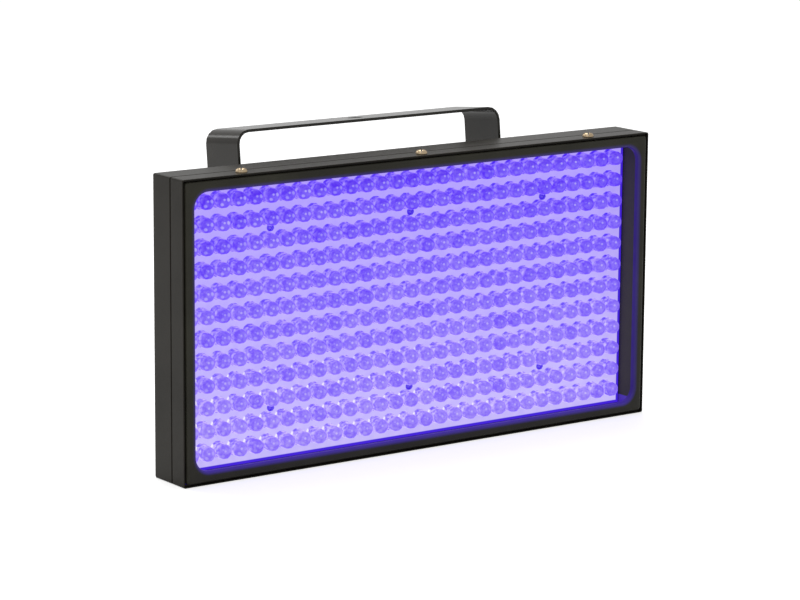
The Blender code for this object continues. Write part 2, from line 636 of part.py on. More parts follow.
def make_controls(parent, board_finish, lens_finish, button_finish):
    """Display lens, push buttons and the board that carries the display and the switches."""
    x, z = DISPLAY_PLACE
    bm = bmesh.new()
    half = (DISPLAY_SIZE[0] / 2, DISPLAY_SIZE[1] / 2)
    put_box(bm, (x - half[0], PANEL_INSIDE - SEAT_GAP - DISPLAY_LENS / 2, z - half[1]),
            (x + half[0], HOUSING_REAR, z + half[1]))
    lens = add_solid("display_window", bm, parent, lens_finish)
    bm = bmesh.new()
    put_box(bm, (x - half[0] - DISPLAY_RIM, PANEL_INSIDE - SEAT_GAP - DISPLAY_LENS,
                 z - half[1] - DISPLAY_RIM),
            (x + half[0] + DISPLAY_RIM, PANEL_INSIDE - SEAT_GAP, z + half[1] + DISPLAY_RIM))
    combine(lens, add_solid("display_rim", bm, parent), "UNION")

    flange = SEAT_GAP + HOUSING_SHEET
    profile = [(0.0, BUTTON_HEIGHT), (BUTTON_RADIUS - BUTTON_EDGE, BUTTON_HEIGHT),
               (BUTTON_RADIUS, BUTTON_HEIGHT - BUTTON_EDGE), (BUTTON_RADIUS, -flange),
               (BUTTON_FLANGE, -flange), (BUTTON_FLANGE, -flange - BUTTON_BASE),
               (0.0, -flange - BUTTON_BASE)]
    for number, place in enumerate(button_places(), 1):
        add_solid(f"menu_button_{number}", turned(profile, FACE_BACK, 8), parent, button_finish,
                  (place, HOUSING_REAR, BUTTON_LEVEL))

    width, height = CONTROL_BOARD_SIZE
    back = PANEL_INSIDE - CONTROL_BOARD_GAP
    middle = (z + BUTTON_LEVEL) / 2
    bm = bmesh.new()
    put_box(bm, (-width / 2, back - BOARD_THICKNESS, middle - height / 2),
            (width / 2, back, middle + height / 2))
    board = add_solid("control_board", bm, parent, board_finish)
    bm = bmesh.new()
    sunk = back - BOARD_THICKNESS / 2
    lens_back = PANEL_INSIDE - SEAT_GAP - DISPLAY_LENS
    put_box(bm, (x - half[0], sunk, z - half[1]), (x + half[0], lens_back - SEAT_GAP, z + half[1]))
    pressed = HOUSING_REAR - flange - BUTTON_BASE - BUTTON_TRAVEL - SEAT_GAP
    for place in button_places():
        put_box(bm, (place - BUTTON_RADIUS, sunk, BUTTON_LEVEL - BUTTON_RADIUS),
                (place + BUTTON_RADIUS, pressed, BUTTON_LEVEL + BUTTON_RADIUS))
    for side in (-1, 1):
        for up in (-1, 1):
            post = (side * (width / 2 - STANDOFF_RADIUS), sunk,
                    middle + up * (height / 2 - STANDOFF_RADIUS))
            put_rod(bm, BOARD_POST_RADIUS, PANEL_INSIDE - SEAT_GAP - sunk, post, FACE_BACK, 6)
    combine(board, add_solid("control_board_parts", bm, parent), "UNION")


def make_dmx_sockets(parent, shell_finish, pin_finish, latch_finish):
    """Three-pole data sockets: pins in the input, holes and a latch in the output."""
    width, height, thickness = DMX_FLANGE
    face = SEAT_GAP + thickness
    for name, place in (("dmx_in_socket", DMX_IN_PLACE), ("dmx_out_socket", DMX_OUT_PLACE)):
        spot = (place[0], HOUSING_REAR, place[1])
        bm = bmesh.new()
        put_loft(bm, [[(x, depth, z) for x, z in
                       rounded_rectangle(width / 2, height / 2, thickness, 2)]
                      for depth in (SEAT_GAP, face)])
        socket = add_solid(name, bm, parent, shell_finish, spot)
        bm = bmesh.new()
        put_rod(bm, DMX_BODY_RADIUS, DMX_BODY_LENGTH, (0, face - thickness / 2, 0), FACE_FRONT, 12)
        body = add_solid(name + "_body", bm, parent, None, spot)
        combine(socket, body, "UNION")

        bm = bmesh.new()
        floor = face - DMX_BORE_DEPTH
        poles = dmx_pin_places()
        if name == "dmx_in_socket":
            put_rod(bm, DMX_BORE_RADIUS, DMX_BORE_DEPTH + thickness, (0, floor, 0), FACE_BACK, 16)
        if name == "dmx_out_socket":
            for x, z in poles:
                put_rod(bm, DMX_PIN_RADIUS + HOLE_CLEARANCE, DMX_BORE_DEPTH + thickness,
                        (x, floor, z), FACE_BACK, 6)
            reach = (LATCH_SIZE[0] / 2 + SEAT_GAP, LATCH_SIZE[1] / 2 + SEAT_GAP)
            depth = LATCH_TRAVEL + 2 * SEAT_GAP
            put_box(bm, (-reach[0], -depth - SEAT_GAP, LATCH_MIDDLE - reach[1]),
                    (reach[0], face + thickness, LATCH_MIDDLE + reach[1]))
        combine(socket, add_solid(name + "_bore", bm, parent, None, spot), "DIFFERENCE")
        if name == "dmx_in_socket":
            bm = bmesh.new()
            for x, z in poles:
                put_rod(bm, DMX_PIN_RADIUS + HOLE_CLEARANCE, DMX_BODY_LENGTH + thickness,
                        (x, floor + thickness, z), FACE_FRONT, 6)
            combine(socket, add_solid("dmx_pin_holes", bm, parent, None, spot), "DIFFERENCE")
            for number, (x, z) in enumerate(poles, 1):
                bm = bmesh.new()
                put_rod(bm, DMX_PIN_RADIUS, DMX_BODY_LENGTH, (0, 0, 0), FACE_FRONT, 6)
                add_solid(f"dmx_pin_{number}", bm, parent, pin_finish,
                          (place[0] + x, HOUSING_REAR + face - thickness, place[1] + z))
    bm = bmesh.new()
    outline = rounded_rectangle(LATCH_SIZE[0] / 2, LATCH_SIZE[1] / 2, thickness / 2, 2)
    put_loft(bm, [[(x, depth, z) for x, z in outline] for depth in (0.0, thickness + LATCH_PROUD)])
    add_solid("dmx_out_latch", bm, parent, latch_finish,
              (DMX_OUT_PLACE[0], HOUSING_REAR + SEAT_GAP, DMX_OUT_PLACE[1] + LATCH_MIDDLE))


def dmx_pin_places():
    """The three poles of a data socket, two above and one below."""
    return [(DMX_PIN_CIRCLE * math.cos(math.radians(angle)),
             DMX_PIN_CIRCLE * math.sin(math.radians(angle))) for angle in (0, 180, 270)]


def make_mains_inlet(parent, shell_finish, blade_finish):
    """Appliance inlet: flanged shell with a deep cavity and three blades."""
    width, height, thickness = INLET_FLANGE
    body_width, body_height, length = INLET_BODY
    spot = (INLET_PLACE[0], HOUSING_REAR, INLET_PLACE[1])
    face = SEAT_GAP + thickness
    bm = bmesh.new()
    put_loft(bm, [[(x, depth, z) for x, z in
                   rounded_rectangle(width / 2, height / 2, thickness, 2)]
                  for depth in (SEAT_GAP, face)])
    inlet = add_solid("mains_inlet", bm, parent, shell_finish, spot)
    bm = bmesh.new()
    put_box(bm, (-body_width / 2, -length, -body_height / 2),
            (body_width / 2, face - thickness / 2, body_height / 2))
    combine(inlet, add_solid("inlet_body", bm, parent, None, spot), "UNION")
    floor = face - INLET_CAVITY_DEPTH
    bm = bmesh.new()
    half = (body_width / 2 - INLET_WALL, body_height / 2 - INLET_WALL)
    cavity = [(-half[0], -half[1]), (half[0], -half[1]), (half[0], half[1] - INLET_CORNER),
              (half[0] - INLET_CORNER, half[1]), (INLET_CORNER - half[0], half[1]),
              (-half[0], half[1] - INLET_CORNER)]
    put_loft(bm, [[(x, depth, z) for x, z in cavity] for depth in (floor, face + thickness)])
    combine(inlet, add_solid("inlet_cavity", bm, parent, None, spot), "DIFFERENCE")
    poles = [(-BLADE_SPREAD, -BLADE_OFFSET), (0.0, BLADE_OFFSET), (BLADE_SPREAD, -BLADE_OFFSET)]
    grown = (BLADE_SIZE[0] / 2 + HOLE_CLEARANCE, BLADE_SIZE[1] / 2 + HOLE_CLEARANCE)
    bm = bmesh.new()
    for x, z in poles:
        put_box(bm, (x - grown[0], -length - thickness, z - grown[1]),
                (x + grown[0], floor + thickness / 2, z + grown[1]))
    combine(inlet, add_solid("blade_slots", bm, parent, None, spot), "DIFFERENCE")
    for name, (x, z) in zip(("line", "earth", "neutral"), poles):
        bm = bmesh.new()
        put_box(bm, (-BLADE_SIZE[0] / 2, -length - BLADE_TAB, -BLADE_SIZE[1] / 2),
                (BLADE_SIZE[0] / 2, face - BLADE_SHORT, BLADE_SIZE[1] / 2))
        add_solid(f"inlet_blade_{name}", bm, parent, blade_finish,
                  (spot[0] + x, HOUSING_REAR, spot[2] + z))


def make_fuse(parent, shell_finish, link_finish):
    """Panel fuse holder with its glass link and its quarter-turn cap."""
    spot = (FUSE_PLACE[0], HOUSING_REAR, FUSE_PLACE[1])
    face = SEAT_GAP + FUSE_FLANGE
    bore = FUSE_RADIUS + HOLE_CLEARANCE
    bottom = face - FUSE_BODY_LENGTH
    profile = [(0.0, bottom), (FUSE_BODY_RADIUS, bottom), (FUSE_BODY_RADIUS, SEAT_GAP),
               (FUSE_FLANGE_RADIUS, SEAT_GAP), (FUSE_FLANGE_RADIUS, face), (bore, face),
               (bore, bottom + FUSE_FLANGE), (0.0, bottom + FUSE_FLANGE)]
    add_solid("fuse_holder", turned(profile, FACE_BACK), parent, shell_finish, spot)

    bm = bmesh.new()
    start = bottom + FUSE_FLANGE + SEAT_GAP
    put_rod(bm, FUSE_RADIUS, FUSE_LENGTH, (0, start, 0), FACE_BACK, 8)
    add_solid("fuse_link", bm, parent, link_finish, spot)

    under = face + SEAT_GAP
    stem = start + FUSE_LENGTH + SEAT_GAP - under
    place = (spot[0], HOUSING_REAR + under, spot[2])
    profile = [(0.0, FUSE_CAP_HEIGHT), (FUSE_CAP_RADIUS - FUSE_CAP_EDGE, FUSE_CAP_HEIGHT),
               (FUSE_CAP_RADIUS, FUSE_CAP_HEIGHT - FUSE_CAP_EDGE), (FUSE_CAP_RADIUS, 0.0),
               (FUSE_RADIUS, 0.0), (FUSE_RADIUS, stem), (0.0, stem)]
    cap = add_solid("fuse_cap", turned(profile, FACE_BACK), parent, shell_finish, place)
    bm = bmesh.new()
    width, depth = FUSE_SLOT
    put_box(bm, (-2 * FUSE_CAP_RADIUS, FUSE_CAP_HEIGHT - depth, -width / 2),
            (2 * FUSE_CAP_RADIUS, 2 * FUSE_CAP_HEIGHT, width / 2))
    combine(cap, add_solid("fuse_cap_slot", bm, parent, None, place), "DIFFERENCE")


def make_power_supply(parent, finish):
    """Open supply on a base plate: transformer, reservoir capacitors and its board."""
    width, depth, base = SUPPLY_BASE
    bottom = HOUSING_BOTTOM + HOUSING_SHEET + SEAT_GAP
    middle = (HOUSING_FRONT + PANEL_INSIDE) / 2
    bm = bmesh.new()
    put_box(bm, (-width / 2, middle - depth / 2, bottom),
            (width / 2, middle + depth / 2, bottom + base))
    supply = add_solid("power_supply", bm, parent, finish)
    bm = bmesh.new()
    long, deep, tall = SUPPLY_TRANSFORMER
    sunk = bottom + base / 2
    put_box(bm, (-width / 2 + base, middle - deep / 2, sunk),
            (-width / 2 + base + long, middle + deep / 2, sunk + tall))
    radius, height = SUPPLY_CAPACITOR
    for number in range(CAPACITOR_COUNT):
        put_rod(bm, radius, height, (CAPACITOR_STEP * number, middle, sunk), FACE_UP, 10)
    combine(supply, add_solid("supply_parts", bm, parent), "UNION")


def make_grommet(parent, finish):
    """Rubber grommet in the back wall, where the LED lead passes into the housing."""
    lip = GROMMET_LIP
    radius = GROMMET_RADIUS
    front = BACK_INSIDE - SEAT_GAP
    rear = CASE_DEPTH + SEAT_GAP
    outline = [(GROMMET_BORE, front - lip), (radius + lip, front - lip), (radius + lip, front),
               (radius, front), (radius, rear), (radius + lip, rear), (radius + lip, rear + lip),
               (GROMMET_BORE, rear + lip)]
    add_solid("lead_grommet", turned_ring(outline, FACE_BACK), parent, finish,
              (GROMMET_PLACE[0], 0, GROMMET_PLACE[1]))


def strap_stations():
    """Middle line of the folded strap from one leg's end to the other's.

    Each station is x, z, the outward normal and the half width there. The legs end in a half
    round about the pivot, which is at z = 0.
    """
    half = BRACKET_STRAP / 2
    middle = BRACKET_HALF_WIDTH - BRACKET_SHEET / 2
    radius = BRACKET_BEND - BRACKET_SHEET / 2
    top = BRACKET_RISE - BRACKET_SHEET / 2
    side = []
    for step in range(LEG_END_STEPS + 1):
        angle = math.radians(LEG_END_TURN * (1 - step / LEG_END_STEPS))
        side.append((middle, -half * math.sin(angle), 1.0, 0.0, half * math.cos(angle)))
    for step in range(BRACKET_BEND_STEPS + 1):
        angle = math.radians(90) * step / BRACKET_BEND_STEPS
        side.append((middle - radius * (1 - math.cos(angle)), top - radius * (1 - math.sin(angle)),
                     math.cos(angle), math.sin(angle), half))
    mirrored = [(-x, z, -nx, nz, reach) for x, z, nx, nz, reach in reversed(side)]
    return side + mirrored


def make_bracket(parent, finish):
    """Flat steel strap folded into a U, with pivot holes and a hanging hole."""
    bm = bmesh.new()
    loops = []
    for x, z, nx, nz, reach in strap_stations():
        out = (nx * BRACKET_SHEET / 2, nz * BRACKET_SHEET / 2)
        loops.append([(x + out[0], -reach, z + out[1]), (x + out[0], reach, z + out[1]),
                      (x - out[0], reach, z - out[1]), (x - out[0], -reach, z - out[1])])
    put_loft(bm, loops)
    bracket = add_solid("hanging_bracket", bm, parent, finish)
    bm = bmesh.new()
    for side, facing in ((-1, FACE_LEFT), (1, FACE_RIGHT)):
        put_rod(bm, STUD_RADIUS + HOLE_CLEARANCE, 3 * BRACKET_SHEET,
                (side * (BRACKET_HALF_WIDTH - 2 * BRACKET_SHEET), 0, 0), facing)
    put_rod(bm, HANGING_HOLE, 3 * BRACKET_SHEET, (0, 0, BRACKET_RISE - 2 * BRACKET_SHEET),
            FACE_UP)
    combine(bracket, add_solid("bracket_holes", bm, parent), "DIFFERENCE")


def make_pivots(parent, finishes):
    """Rivet bushes, friction washers, studs and clamp knobs on the bracket's axis."""
    stud_reach = HOUSING_HALF - BUSH_LENGTH
    knob_face = BRACKET_HALF_WIDTH + SEAT_GAP
    bore = STUD_RADIUS + HOLE_CLEARANCE
    for name, side, facing in (("left", -1, FACE_LEFT), ("right", 1, FACE_RIGHT)):
        flange = BUSH_LENGTH + SEAT_GAP
        outline = [(bore, 0.0), (bore + BUSH_WALL, 0.0), (bore + BUSH_WALL, flange),
                   (BUSH_FLANGE, flange), (BUSH_FLANGE, flange + BUSH_FLANGE_THICKNESS),
                   (bore, flange + BUSH_FLANGE_THICKNESS)]
        add_solid(f"pivot_bush_{name}", turned_ring(outline, facing), parent, finishes["zinc"],
                  (side * stud_reach, PIVOT_DEPTH, 0))
        outline = [(bore, 0.0), (WASHER_RADIUS, 0.0), (WASHER_RADIUS, WASHER_THICKNESS),
                   (bore, WASHER_THICKNESS)]
        washer = HOUSING_HALF + 2 * SEAT_GAP + BUSH_FLANGE_THICKNESS
        add_solid(f"friction_washer_{name}", turned_ring(outline, facing), parent,
                  finishes["rubber"], (side * washer, PIVOT_DEPTH, 0))

        bm = bmesh.new()
        length = knob_face + KNOB_BORE_DEPTH - 2 * SEAT_GAP - stud_reach
        put_rod(bm, STUD_RADIUS, length, (0, 0, 0), facing, 12)
        add_solid(f"knob_stud_{name}", bm, parent, finishes["zinc"],
                  (side * stud_reach, PIVOT_DEPTH, 0))

        bm = bmesh.new()
        head = KNOB_HUB_LENGTH
        end = head + KNOB_HEAD_LENGTH
        heights = ((KNOB_HUB_RADIUS, 0.0, 0.0), (KNOB_HUB_RADIUS, head, 0.0),
                   (KNOB_RADIUS, head, 1.0), (KNOB_RADIUS, end - KNOB_EDGE, 1.0),
                   (KNOB_RADIUS - KNOB_EDGE, end, 1.0))
        sides = KNOB_LOBES * 3
        loops = []
        for radius, height, lobe in heights:
            loop = []
            for k in range(sides):
                angle = math.tau * k / sides
                reach = radius + KNOB_LOBE * lobe * math.cos(KNOB_LOBES * angle)
                loop.append((reach * math.cos(angle), reach * math.sin(angle), height))
            loops.append(loop)
        put_loft(bm, loops)
        bmesh.ops.transform(bm, matrix=facing, verts=bm.verts)
        place = (side * knob_face, PIVOT_DEPTH, 0)
        knob = add_solid(f"clamp_knob_{name}", bm, parent, finishes["knob"], place)
        bm = bmesh.new()
        put_rod(bm, bore, KNOB_BORE_DEPTH + SHEET, (-side * SHEET, 0, 0), facing, 12)
        combine(knob, add_solid(f"knob_bore_{name}", bm, parent, None, place), "DIFFERENCE")


def make_light():
    """Build the whole light."""
    clear_scene()
    finishes = {
        "casing": make_finish("casing_powder_coat", (0.055, 0.053, 0.050), 0.45),
        "bezel": make_finish("bezel_plastic", (0.035, 0.035, 0.033), 0.50),
        "board": make_finish("led_board_white", (0.55, 0.45, 0.95), 0.40),
        "zinc": make_finish("zinc_plate", (0.62, 0.55, 0.42), 0.35, 1.0),
        "knob": make_finish("knob_plastic", (0.020, 0.020, 0.020), 0.55),
        "rubber": make_finish("rubber", (0.025, 0.025, 0.025), 0.80),
        "circuit": make_finish("circuit_board", (0.030, 0.160, 0.070), 0.50),
        "lens": make_finish("display_lens", (0.060, 0.010, 0.012), 0.10),
        "socket": make_finish("socket_shell", (0.030, 0.030, 0.032), 0.40),
        "supply": make_finish("power_supply", (0.500, 0.480, 0.440), 0.45, 0.6),
    }
    middle = (HOUSING_FRONT + HOUSING_REAR) / 2
    light = add_empty("uv_flood_light", None, (0, -middle, -HOUSING_BOTTOM))
    make_rear_casing(light, finishes["casing"])
    make_front_frame(light, finishes["casing"])
    make_window_bezel(light, finishes["bezel"])
    make_led_board(light, finishes["board"])
    make_screws(light, finishes["zinc"])
    make_rear_housing(light, finishes["casing"])
    make_controls(light, finishes["circuit"], finishes["lens"], finishes["knob"])
    make_dmx_sockets(light, finishes["socket"], finishes["zinc"], finishes["zinc"])
    make_mains_inlet(light, finishes["socket"], finishes["zinc"])
    make_fuse(light, finishes["socket"], finishes["lens"])
    make_power_supply(light, finishes["supply"])
    make_grommet(light, finishes["rubber"])
    pivot = add_empty("bracket_axis", light, (0, PIVOT_DEPTH, 0),
                      (math.radians(-BRACKET_LEAN), 0, 0))
    make_bracket(pivot, finishes["casing"])
    make_pivots(light, finishes)


make_light()
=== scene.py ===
"""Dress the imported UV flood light: painted sheet, lit LEDs, screws, knobs and rear fittings."""
import math

import bmesh
import bpy
from mathutils import Euler, Matrix, Vector


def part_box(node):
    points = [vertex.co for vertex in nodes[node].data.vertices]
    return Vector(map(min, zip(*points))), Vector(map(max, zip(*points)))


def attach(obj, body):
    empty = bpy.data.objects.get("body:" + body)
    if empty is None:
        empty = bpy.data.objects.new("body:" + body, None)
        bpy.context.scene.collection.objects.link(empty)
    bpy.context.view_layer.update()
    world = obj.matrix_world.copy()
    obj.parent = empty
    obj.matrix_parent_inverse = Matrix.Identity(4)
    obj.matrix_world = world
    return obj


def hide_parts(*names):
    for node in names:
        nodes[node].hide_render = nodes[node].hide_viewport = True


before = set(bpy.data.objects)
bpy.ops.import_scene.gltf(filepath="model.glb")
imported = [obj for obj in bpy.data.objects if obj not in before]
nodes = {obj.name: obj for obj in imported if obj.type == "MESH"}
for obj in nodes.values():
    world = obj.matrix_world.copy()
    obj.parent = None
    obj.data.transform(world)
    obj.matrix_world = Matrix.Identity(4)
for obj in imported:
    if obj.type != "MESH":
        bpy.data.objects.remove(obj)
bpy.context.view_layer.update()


# ---- Folded casing ----
# The rear casing and the front frame are folded steel sheet, powder coated half-matt black with a
# fine orange-peel grain. Their folds are eased, and the frame stops a little short of the casing,
# so that the dark seam of the photo shows between them.
POWDER = "#25221C"
POWDER_WORN = "#2D2A24"
POWDER_GRAIN = 0.0011
POWDER_ROUGHNESS = 0.33
POWDER_SHINE = 0.15
CLOUD = 0.045
CLOUD_EDGES = (0.35, 0.65)
GRAIN_STRENGTH = 0.25
GRAIN_DEPTH = 0.00006
GLOSS_SPREAD = 0.06
SHEET_EASE = 0.00025
EASE_STEPS = 2
SHARP_ANGLE = math.radians(35)
FLAT_ANGLE = math.radians(1)
MERGE = 1e-6
CAD_MERGE = 2e-6
SEAM_SHADOW = 0.0006
REAR_EDGE = 1e-5


def hex_colour(code):
    """Linear colour from an sRGB hex code."""
    parts = [int(code[k:k + 2], 16) / 255 for k in (1, 3, 5)]
    return tuple(c / 12.92 if c <= 0.04045 else ((c + 0.055) / 1.055) ** 2.4 for c in parts) + (1.0,)


def add_node(material, kind, feeds=None, **settings):
    """Add a node; settings name its properties, feeds give its sockets a value or an output.

    A mix of colours takes them at sockets 6 and 7 and gives the result at output 2.
    """
    node = material.node_tree.nodes.new("ShaderNode" + kind)
    for name, value in settings.items():
        setattr(node, name, value)
    for name, feed in (feeds or {}).items():
        if isinstance(feed, bpy.types.NodeSocket):
            material.node_tree.links.new(feed, node.inputs[name])
        else:
            node.inputs[name].default_value = feed
    return node


def new_material(name):
    """Material that holds nothing but its output."""
    material = bpy.data.materials.new(name)
    material.use_nodes = True
    material.node_tree.nodes.clear()
    return material


def show_shader(material, shader):
    """Lead a shader to the material's output."""
    add_node(material, "OutputMaterial", {"Surface": shader.outputs[0]})
    return material


def grained_finish(name, colour, worn, grain, roughness, metallic=0.0, shine=0.5):
    """Coat, plating or moulding: cloudy colour, and a grain in its bump and gloss."""
    material = new_material(name)
    place = add_node(material, "TexCoord").outputs["Object"]
    cloud = add_node(material, "TexNoise", {"Vector": place, "Scale": 1 / CLOUD, "Detail": 3.0})
    tone = add_node(material, "MapRange", {"Value": cloud.outputs["Fac"],
                                           "From Min": CLOUD_EDGES[0],
                                           "From Max": CLOUD_EDGES[1]})
    tint = add_node(material, "Mix", {"Factor": tone.outputs[0], 6: hex_colour(colour),
                                      7: hex_colour(worn)}, data_type="RGBA")
    peel = add_node(material, "TexNoise", {"Vector": place, "Scale": 1 / grain, "Detail": 2.0})
    gloss = add_node(material, "MapRange", {"Value": peel.outputs["Fac"],
                                            "To Min": roughness - GLOSS_SPREAD,
                                            "To Max": roughness + GLOSS_SPREAD})
    bump = add_node(material, "Bump", {"Height": peel.outputs["Fac"],
                                       "Strength": GRAIN_STRENGTH, "Distance": GRAIN_DEPTH})
    return show_shader(material, add_node(material, "BsdfPrincipled", {
        "Base Color": tint.outputs[2], "Roughness": gloss.outputs[0], "Metallic": metallic,
        "Specular IOR Level": shine, "Normal": bump.outputs[0]}))


def make_piece(name, bm, material, body, slot, *stands_for):
    """Finish a bmesh as a smooth piece that rides on a body and stands for CAD nodes."""
    bmesh.ops.remove_doubles(bm, verts=bm.verts, dist=MERGE)
    bmesh.ops.recalc_face_normals(bm, faces=bm.faces)
    mesh = bpy.data.meshes.new(name)
    bm.to_mesh(mesh)
    bm.free()
    mesh.materials.append(material)
    mesh.shade_smooth()
    mesh.set_sharp_from_angle(angle=SHARP_ANGLE)
    piece = bpy.data.objects.new(name, mesh)
    bpy.context.scene.collection.objects.link(piece)
    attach(piece, body)
    if stands_for:
        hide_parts(*stands_for)
    return piece


def ease_node(node, name, material, body, slot, ease):
    """Stand for a CAD node with a merged copy of it whose sharp edges are eased."""
    bm = bmesh.new()
    bm.from_mesh(nodes[node].data)
    bmesh.ops.remove_doubles(bm, verts=bm.verts, dist=CAD_MERGE)
    bmesh.ops.dissolve_limit(bm, angle_limit=FLAT_ANGLE, verts=bm.verts, edges=bm.edges)
    piece = make_piece(name, bm, material, body, slot, node)
    bevel = piece.modifiers.new("eased_edges", "BEVEL")
    bevel.offset_type = "WIDTH"
    bevel.width = ease
    bevel.segments = EASE_STEPS
    bevel.limit_method = "ANGLE"
    bevel.angle_limit = SHARP_ANGLE
    bevel.use_clamp_overlap = False
    even = piece.modifiers.new("even_shading", "WEIGHTED_NORMAL")
    even.weight = 100
    even.keep_sharp = True
    return piece


powder_coat = grained_finish("black_powder_coat", POWDER, POWDER_WORN, POWDER_GRAIN,
                             POWDER_ROUGHNESS, shine=POWDER_SHINE)
ease_node("rear_casing", "casing_tray", powder_coat, "lamp", "casing", SHEET_EASE)
ring = ease_node("front_frame", "frame_ring", powder_coat, "lamp", "casing", SHEET_EASE)
back = max(vertex.co.y for vertex in ring.data.vertices)
for vertex in ring.data.vertices:
    if vertex.co.y > back - REAR_EDGE:
        vertex.co.y -= SEAM_SHADOW


# ---- LED board ----
# A white-lacquered glass-epoxy board, 1.6 mm thick, held by six screws. Its front keeps a dark
# violet colour of its own, and the LEDs' light on it is painted as a lavender glow, paler towards
# its foot and in faint clouds, with a deep violet painted glow along its rim. It reaches 1.3 mm
# further out than the solid on each side, to meet the photo.
BOARD_SHEET = 0.0016
BOARD_REACH = 0.0013
BOARD_RIM = 0.0010
BOARD_CLOUD = 0.006
BOARD_WEAVE = 0.0015
WEAVE_STRENGTH = 0.15
WEAVE_DEPTH = 0.00005
BOARD_ROUGHNESS = 0.35
BOARD_UNLIT = "#2A2640"
BOARD_POWER = 0.92
# Deep and pale painted glow at the top, then at the foot
BOARD_PAINTED_GLOW = (("#AE9AFF", "#B9A6FF"), ("#C2B4FF", "#D6CAFF"))
RIM_PAINTED_GLOW = "#4320DC"
board_low, board_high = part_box("led_board")
board_front = board_high.y - BOARD_SHEET


def glow_colour(material, place, amount, colours):
    """Mix of a deep and a pale colour, where each runs from one at the top to one at the foot."""
    height = add_node(material, "SeparateXYZ", {"Vector": place}).outputs["Z"]
    fade = add_node(material, "MapRange", {"Value": height, "From Min": board_high.z,
                                           "From Max": board_low.z})
    ends = [add_node(material, "Mix", {"Factor": amount, 6: hex_colour(deep), 7: hex_colour(pale)},
                     data_type="RGBA").outputs[2] for deep, pale in colours]
    return add_node(material, "Mix", {"Factor": fade.outputs[0], 6: ends[0], 7: ends[1]},
                    data_type="RGBA").outputs[2]


lacquer = new_material("board_lacquer_painted_glow")
place = add_node(lacquer, "TexCoord").outputs["Object"]
cloud = add_node(lacquer, "TexNoise", {"Vector": place, "Scale": 1 / BOARD_CLOUD, "Detail": 2.0})
weave = add_node(lacquer, "TexNoise", {"Vector": place, "Scale": 1 / BOARD_WEAVE, "Detail": 2.0})
bump = add_node(lacquer, "Bump", {"Height": weave.outputs["Fac"],
                                  "Strength": WEAVE_STRENGTH, "Distance": WEAVE_DEPTH})
# Painted light: the LEDs' light on the board, as a lavender glow in its emission
glow = glow_colour(lacquer, place, cloud.outputs["Fac"], BOARD_PAINTED_GLOW)
centred = add_node(lacquer, "VectorMath", {0: place, 1: (board_low + board_high) / 2},
                   operation="SUBTRACT").outputs[0]
centred = add_node(lacquer, "VectorMath", {0: centred}, operation="ABSOLUTE").outputs[0]
centred = add_node(lacquer, "VectorMath", {0: centred, 1: (board_high - board_low) / 2},
                   operation="SUBTRACT").outputs[0]
beyond = add_node(lacquer, "SeparateXYZ", {"Vector": centred})
beyond = add_node(lacquer, "Math", {0: beyond.outputs["X"], 1: beyond.outputs["Z"]},
                  operation="MAXIMUM").outputs[0]
rim = add_node(lacquer, "MapRange", {"Value": beyond, "From Min": -BOARD_RIM,
                                     "From Max": -BOARD_RIM / 2}).outputs[0]
# Deep violet painted glow along the board's rim
glow = add_node(lacquer, "Mix", {"Factor": rim, 6: glow, 7: hex_colour(RIM_PAINTED_GLOW)},
                data_type="RGBA").outputs[2]
show_shader(lacquer, add_node(lacquer, "BsdfPrincipled", {
    "Base Color": hex_colour(BOARD_UNLIT), "Roughness": BOARD_ROUGHNESS, "Emission Color": glow,
    "Emission Strength": BOARD_POWER, "Normal": bump.outputs[0]}))
board_back = grained_finish("white_board_lacquer", "#C9C8C2", "#D6D5CF", grain=BOARD_WEAVE,
                            roughness=BOARD_ROUGHNESS)
bm = bmesh.new()
size = Matrix.Diagonal((board_high.x - board_low.x + 2 * BOARD_REACH, BOARD_SHEET,
                        board_high.z - board_low.z + 2 * BOARD_REACH, 1))
bmesh.ops.create_cube(bm, size=1.0, matrix=Matrix.Translation(
    (0, board_front + BOARD_SHEET / 2, (board_low.z + board_high.z) / 2)) @ size)
for face in bm.faces:
    face.material_index = 0 if face.calc_center_median().y < board_front + BOARD_SHEET / 4 else 1
board = make_piece("board_panel", bm, lacquer, "lamp", "led_board", "led_board")
board.data.materials.append(board_back)


# ---- LEDs ----
# 10 mm domed LEDs in clear epoxy, soldered on 29 by 12 at 12.7 by 15.24 mm, each with a flange, a
# slightly tapered body and a dome. Lit, they glow deep violet with paler blotches. Soft spots are
# painted on: deep violet ones for the cup and leads seen through the epoxy, and white painted
# highlights for the glints. They change in strength across the array, as in the photo.
LED_PITCH = Vector((0.0127, 1.0, 0.01524))
LED_COUNT = (29, 12)
LED_DROP = 0.0015
LED_SHIFT = -0.0006
LED_SIDES = 12
LED_PROFILE = ((0.0058, -0.0002), (0.0058, 0.0012), (0.0053, 0.0014), (0.0052, 0.0083))
DOME_RADIUS = 0.0052
DOME_RINGS = 3
AHEAD = Vector((0, -1, 0))
EPOXY_DARK = "#1C1038"
EPOXY_ROUGHNESS = 0.06
EPOXY_IOR = 1.5
LED_POWER = 0.95
# Deep and pale glow at the top, then at the foot
LED_GLOW = (("#5326F6", "#8F72FC"), ("#8466FA", "#CBB9FC"))
LED_BLOTCH = 0.0024
BLOTCH_EDGES = (0.38, 0.66)
BLOTCH_TWIST = 0.4
# Between these depths, the nearer first, the blotches grow from their share at the dome to full
BLOTCH_FADE = (-0.0105, -0.0070)
TIP_BLOTCH = 0.25
# How far LEDs differ in paleness and in the strength of their spots, and a spot's full core
LED_SPREAD = 0.22
SPARK_RANGE = (0.70, 1.2)
SPOT_CORE = 0.4
# Colours of the white painted highlights and of the painted deep violet cup spots
PAINTED_GLINT_WHITE = "#F4EEFF"
PAINTED_CUP_VIOLET = "#4A22F2"
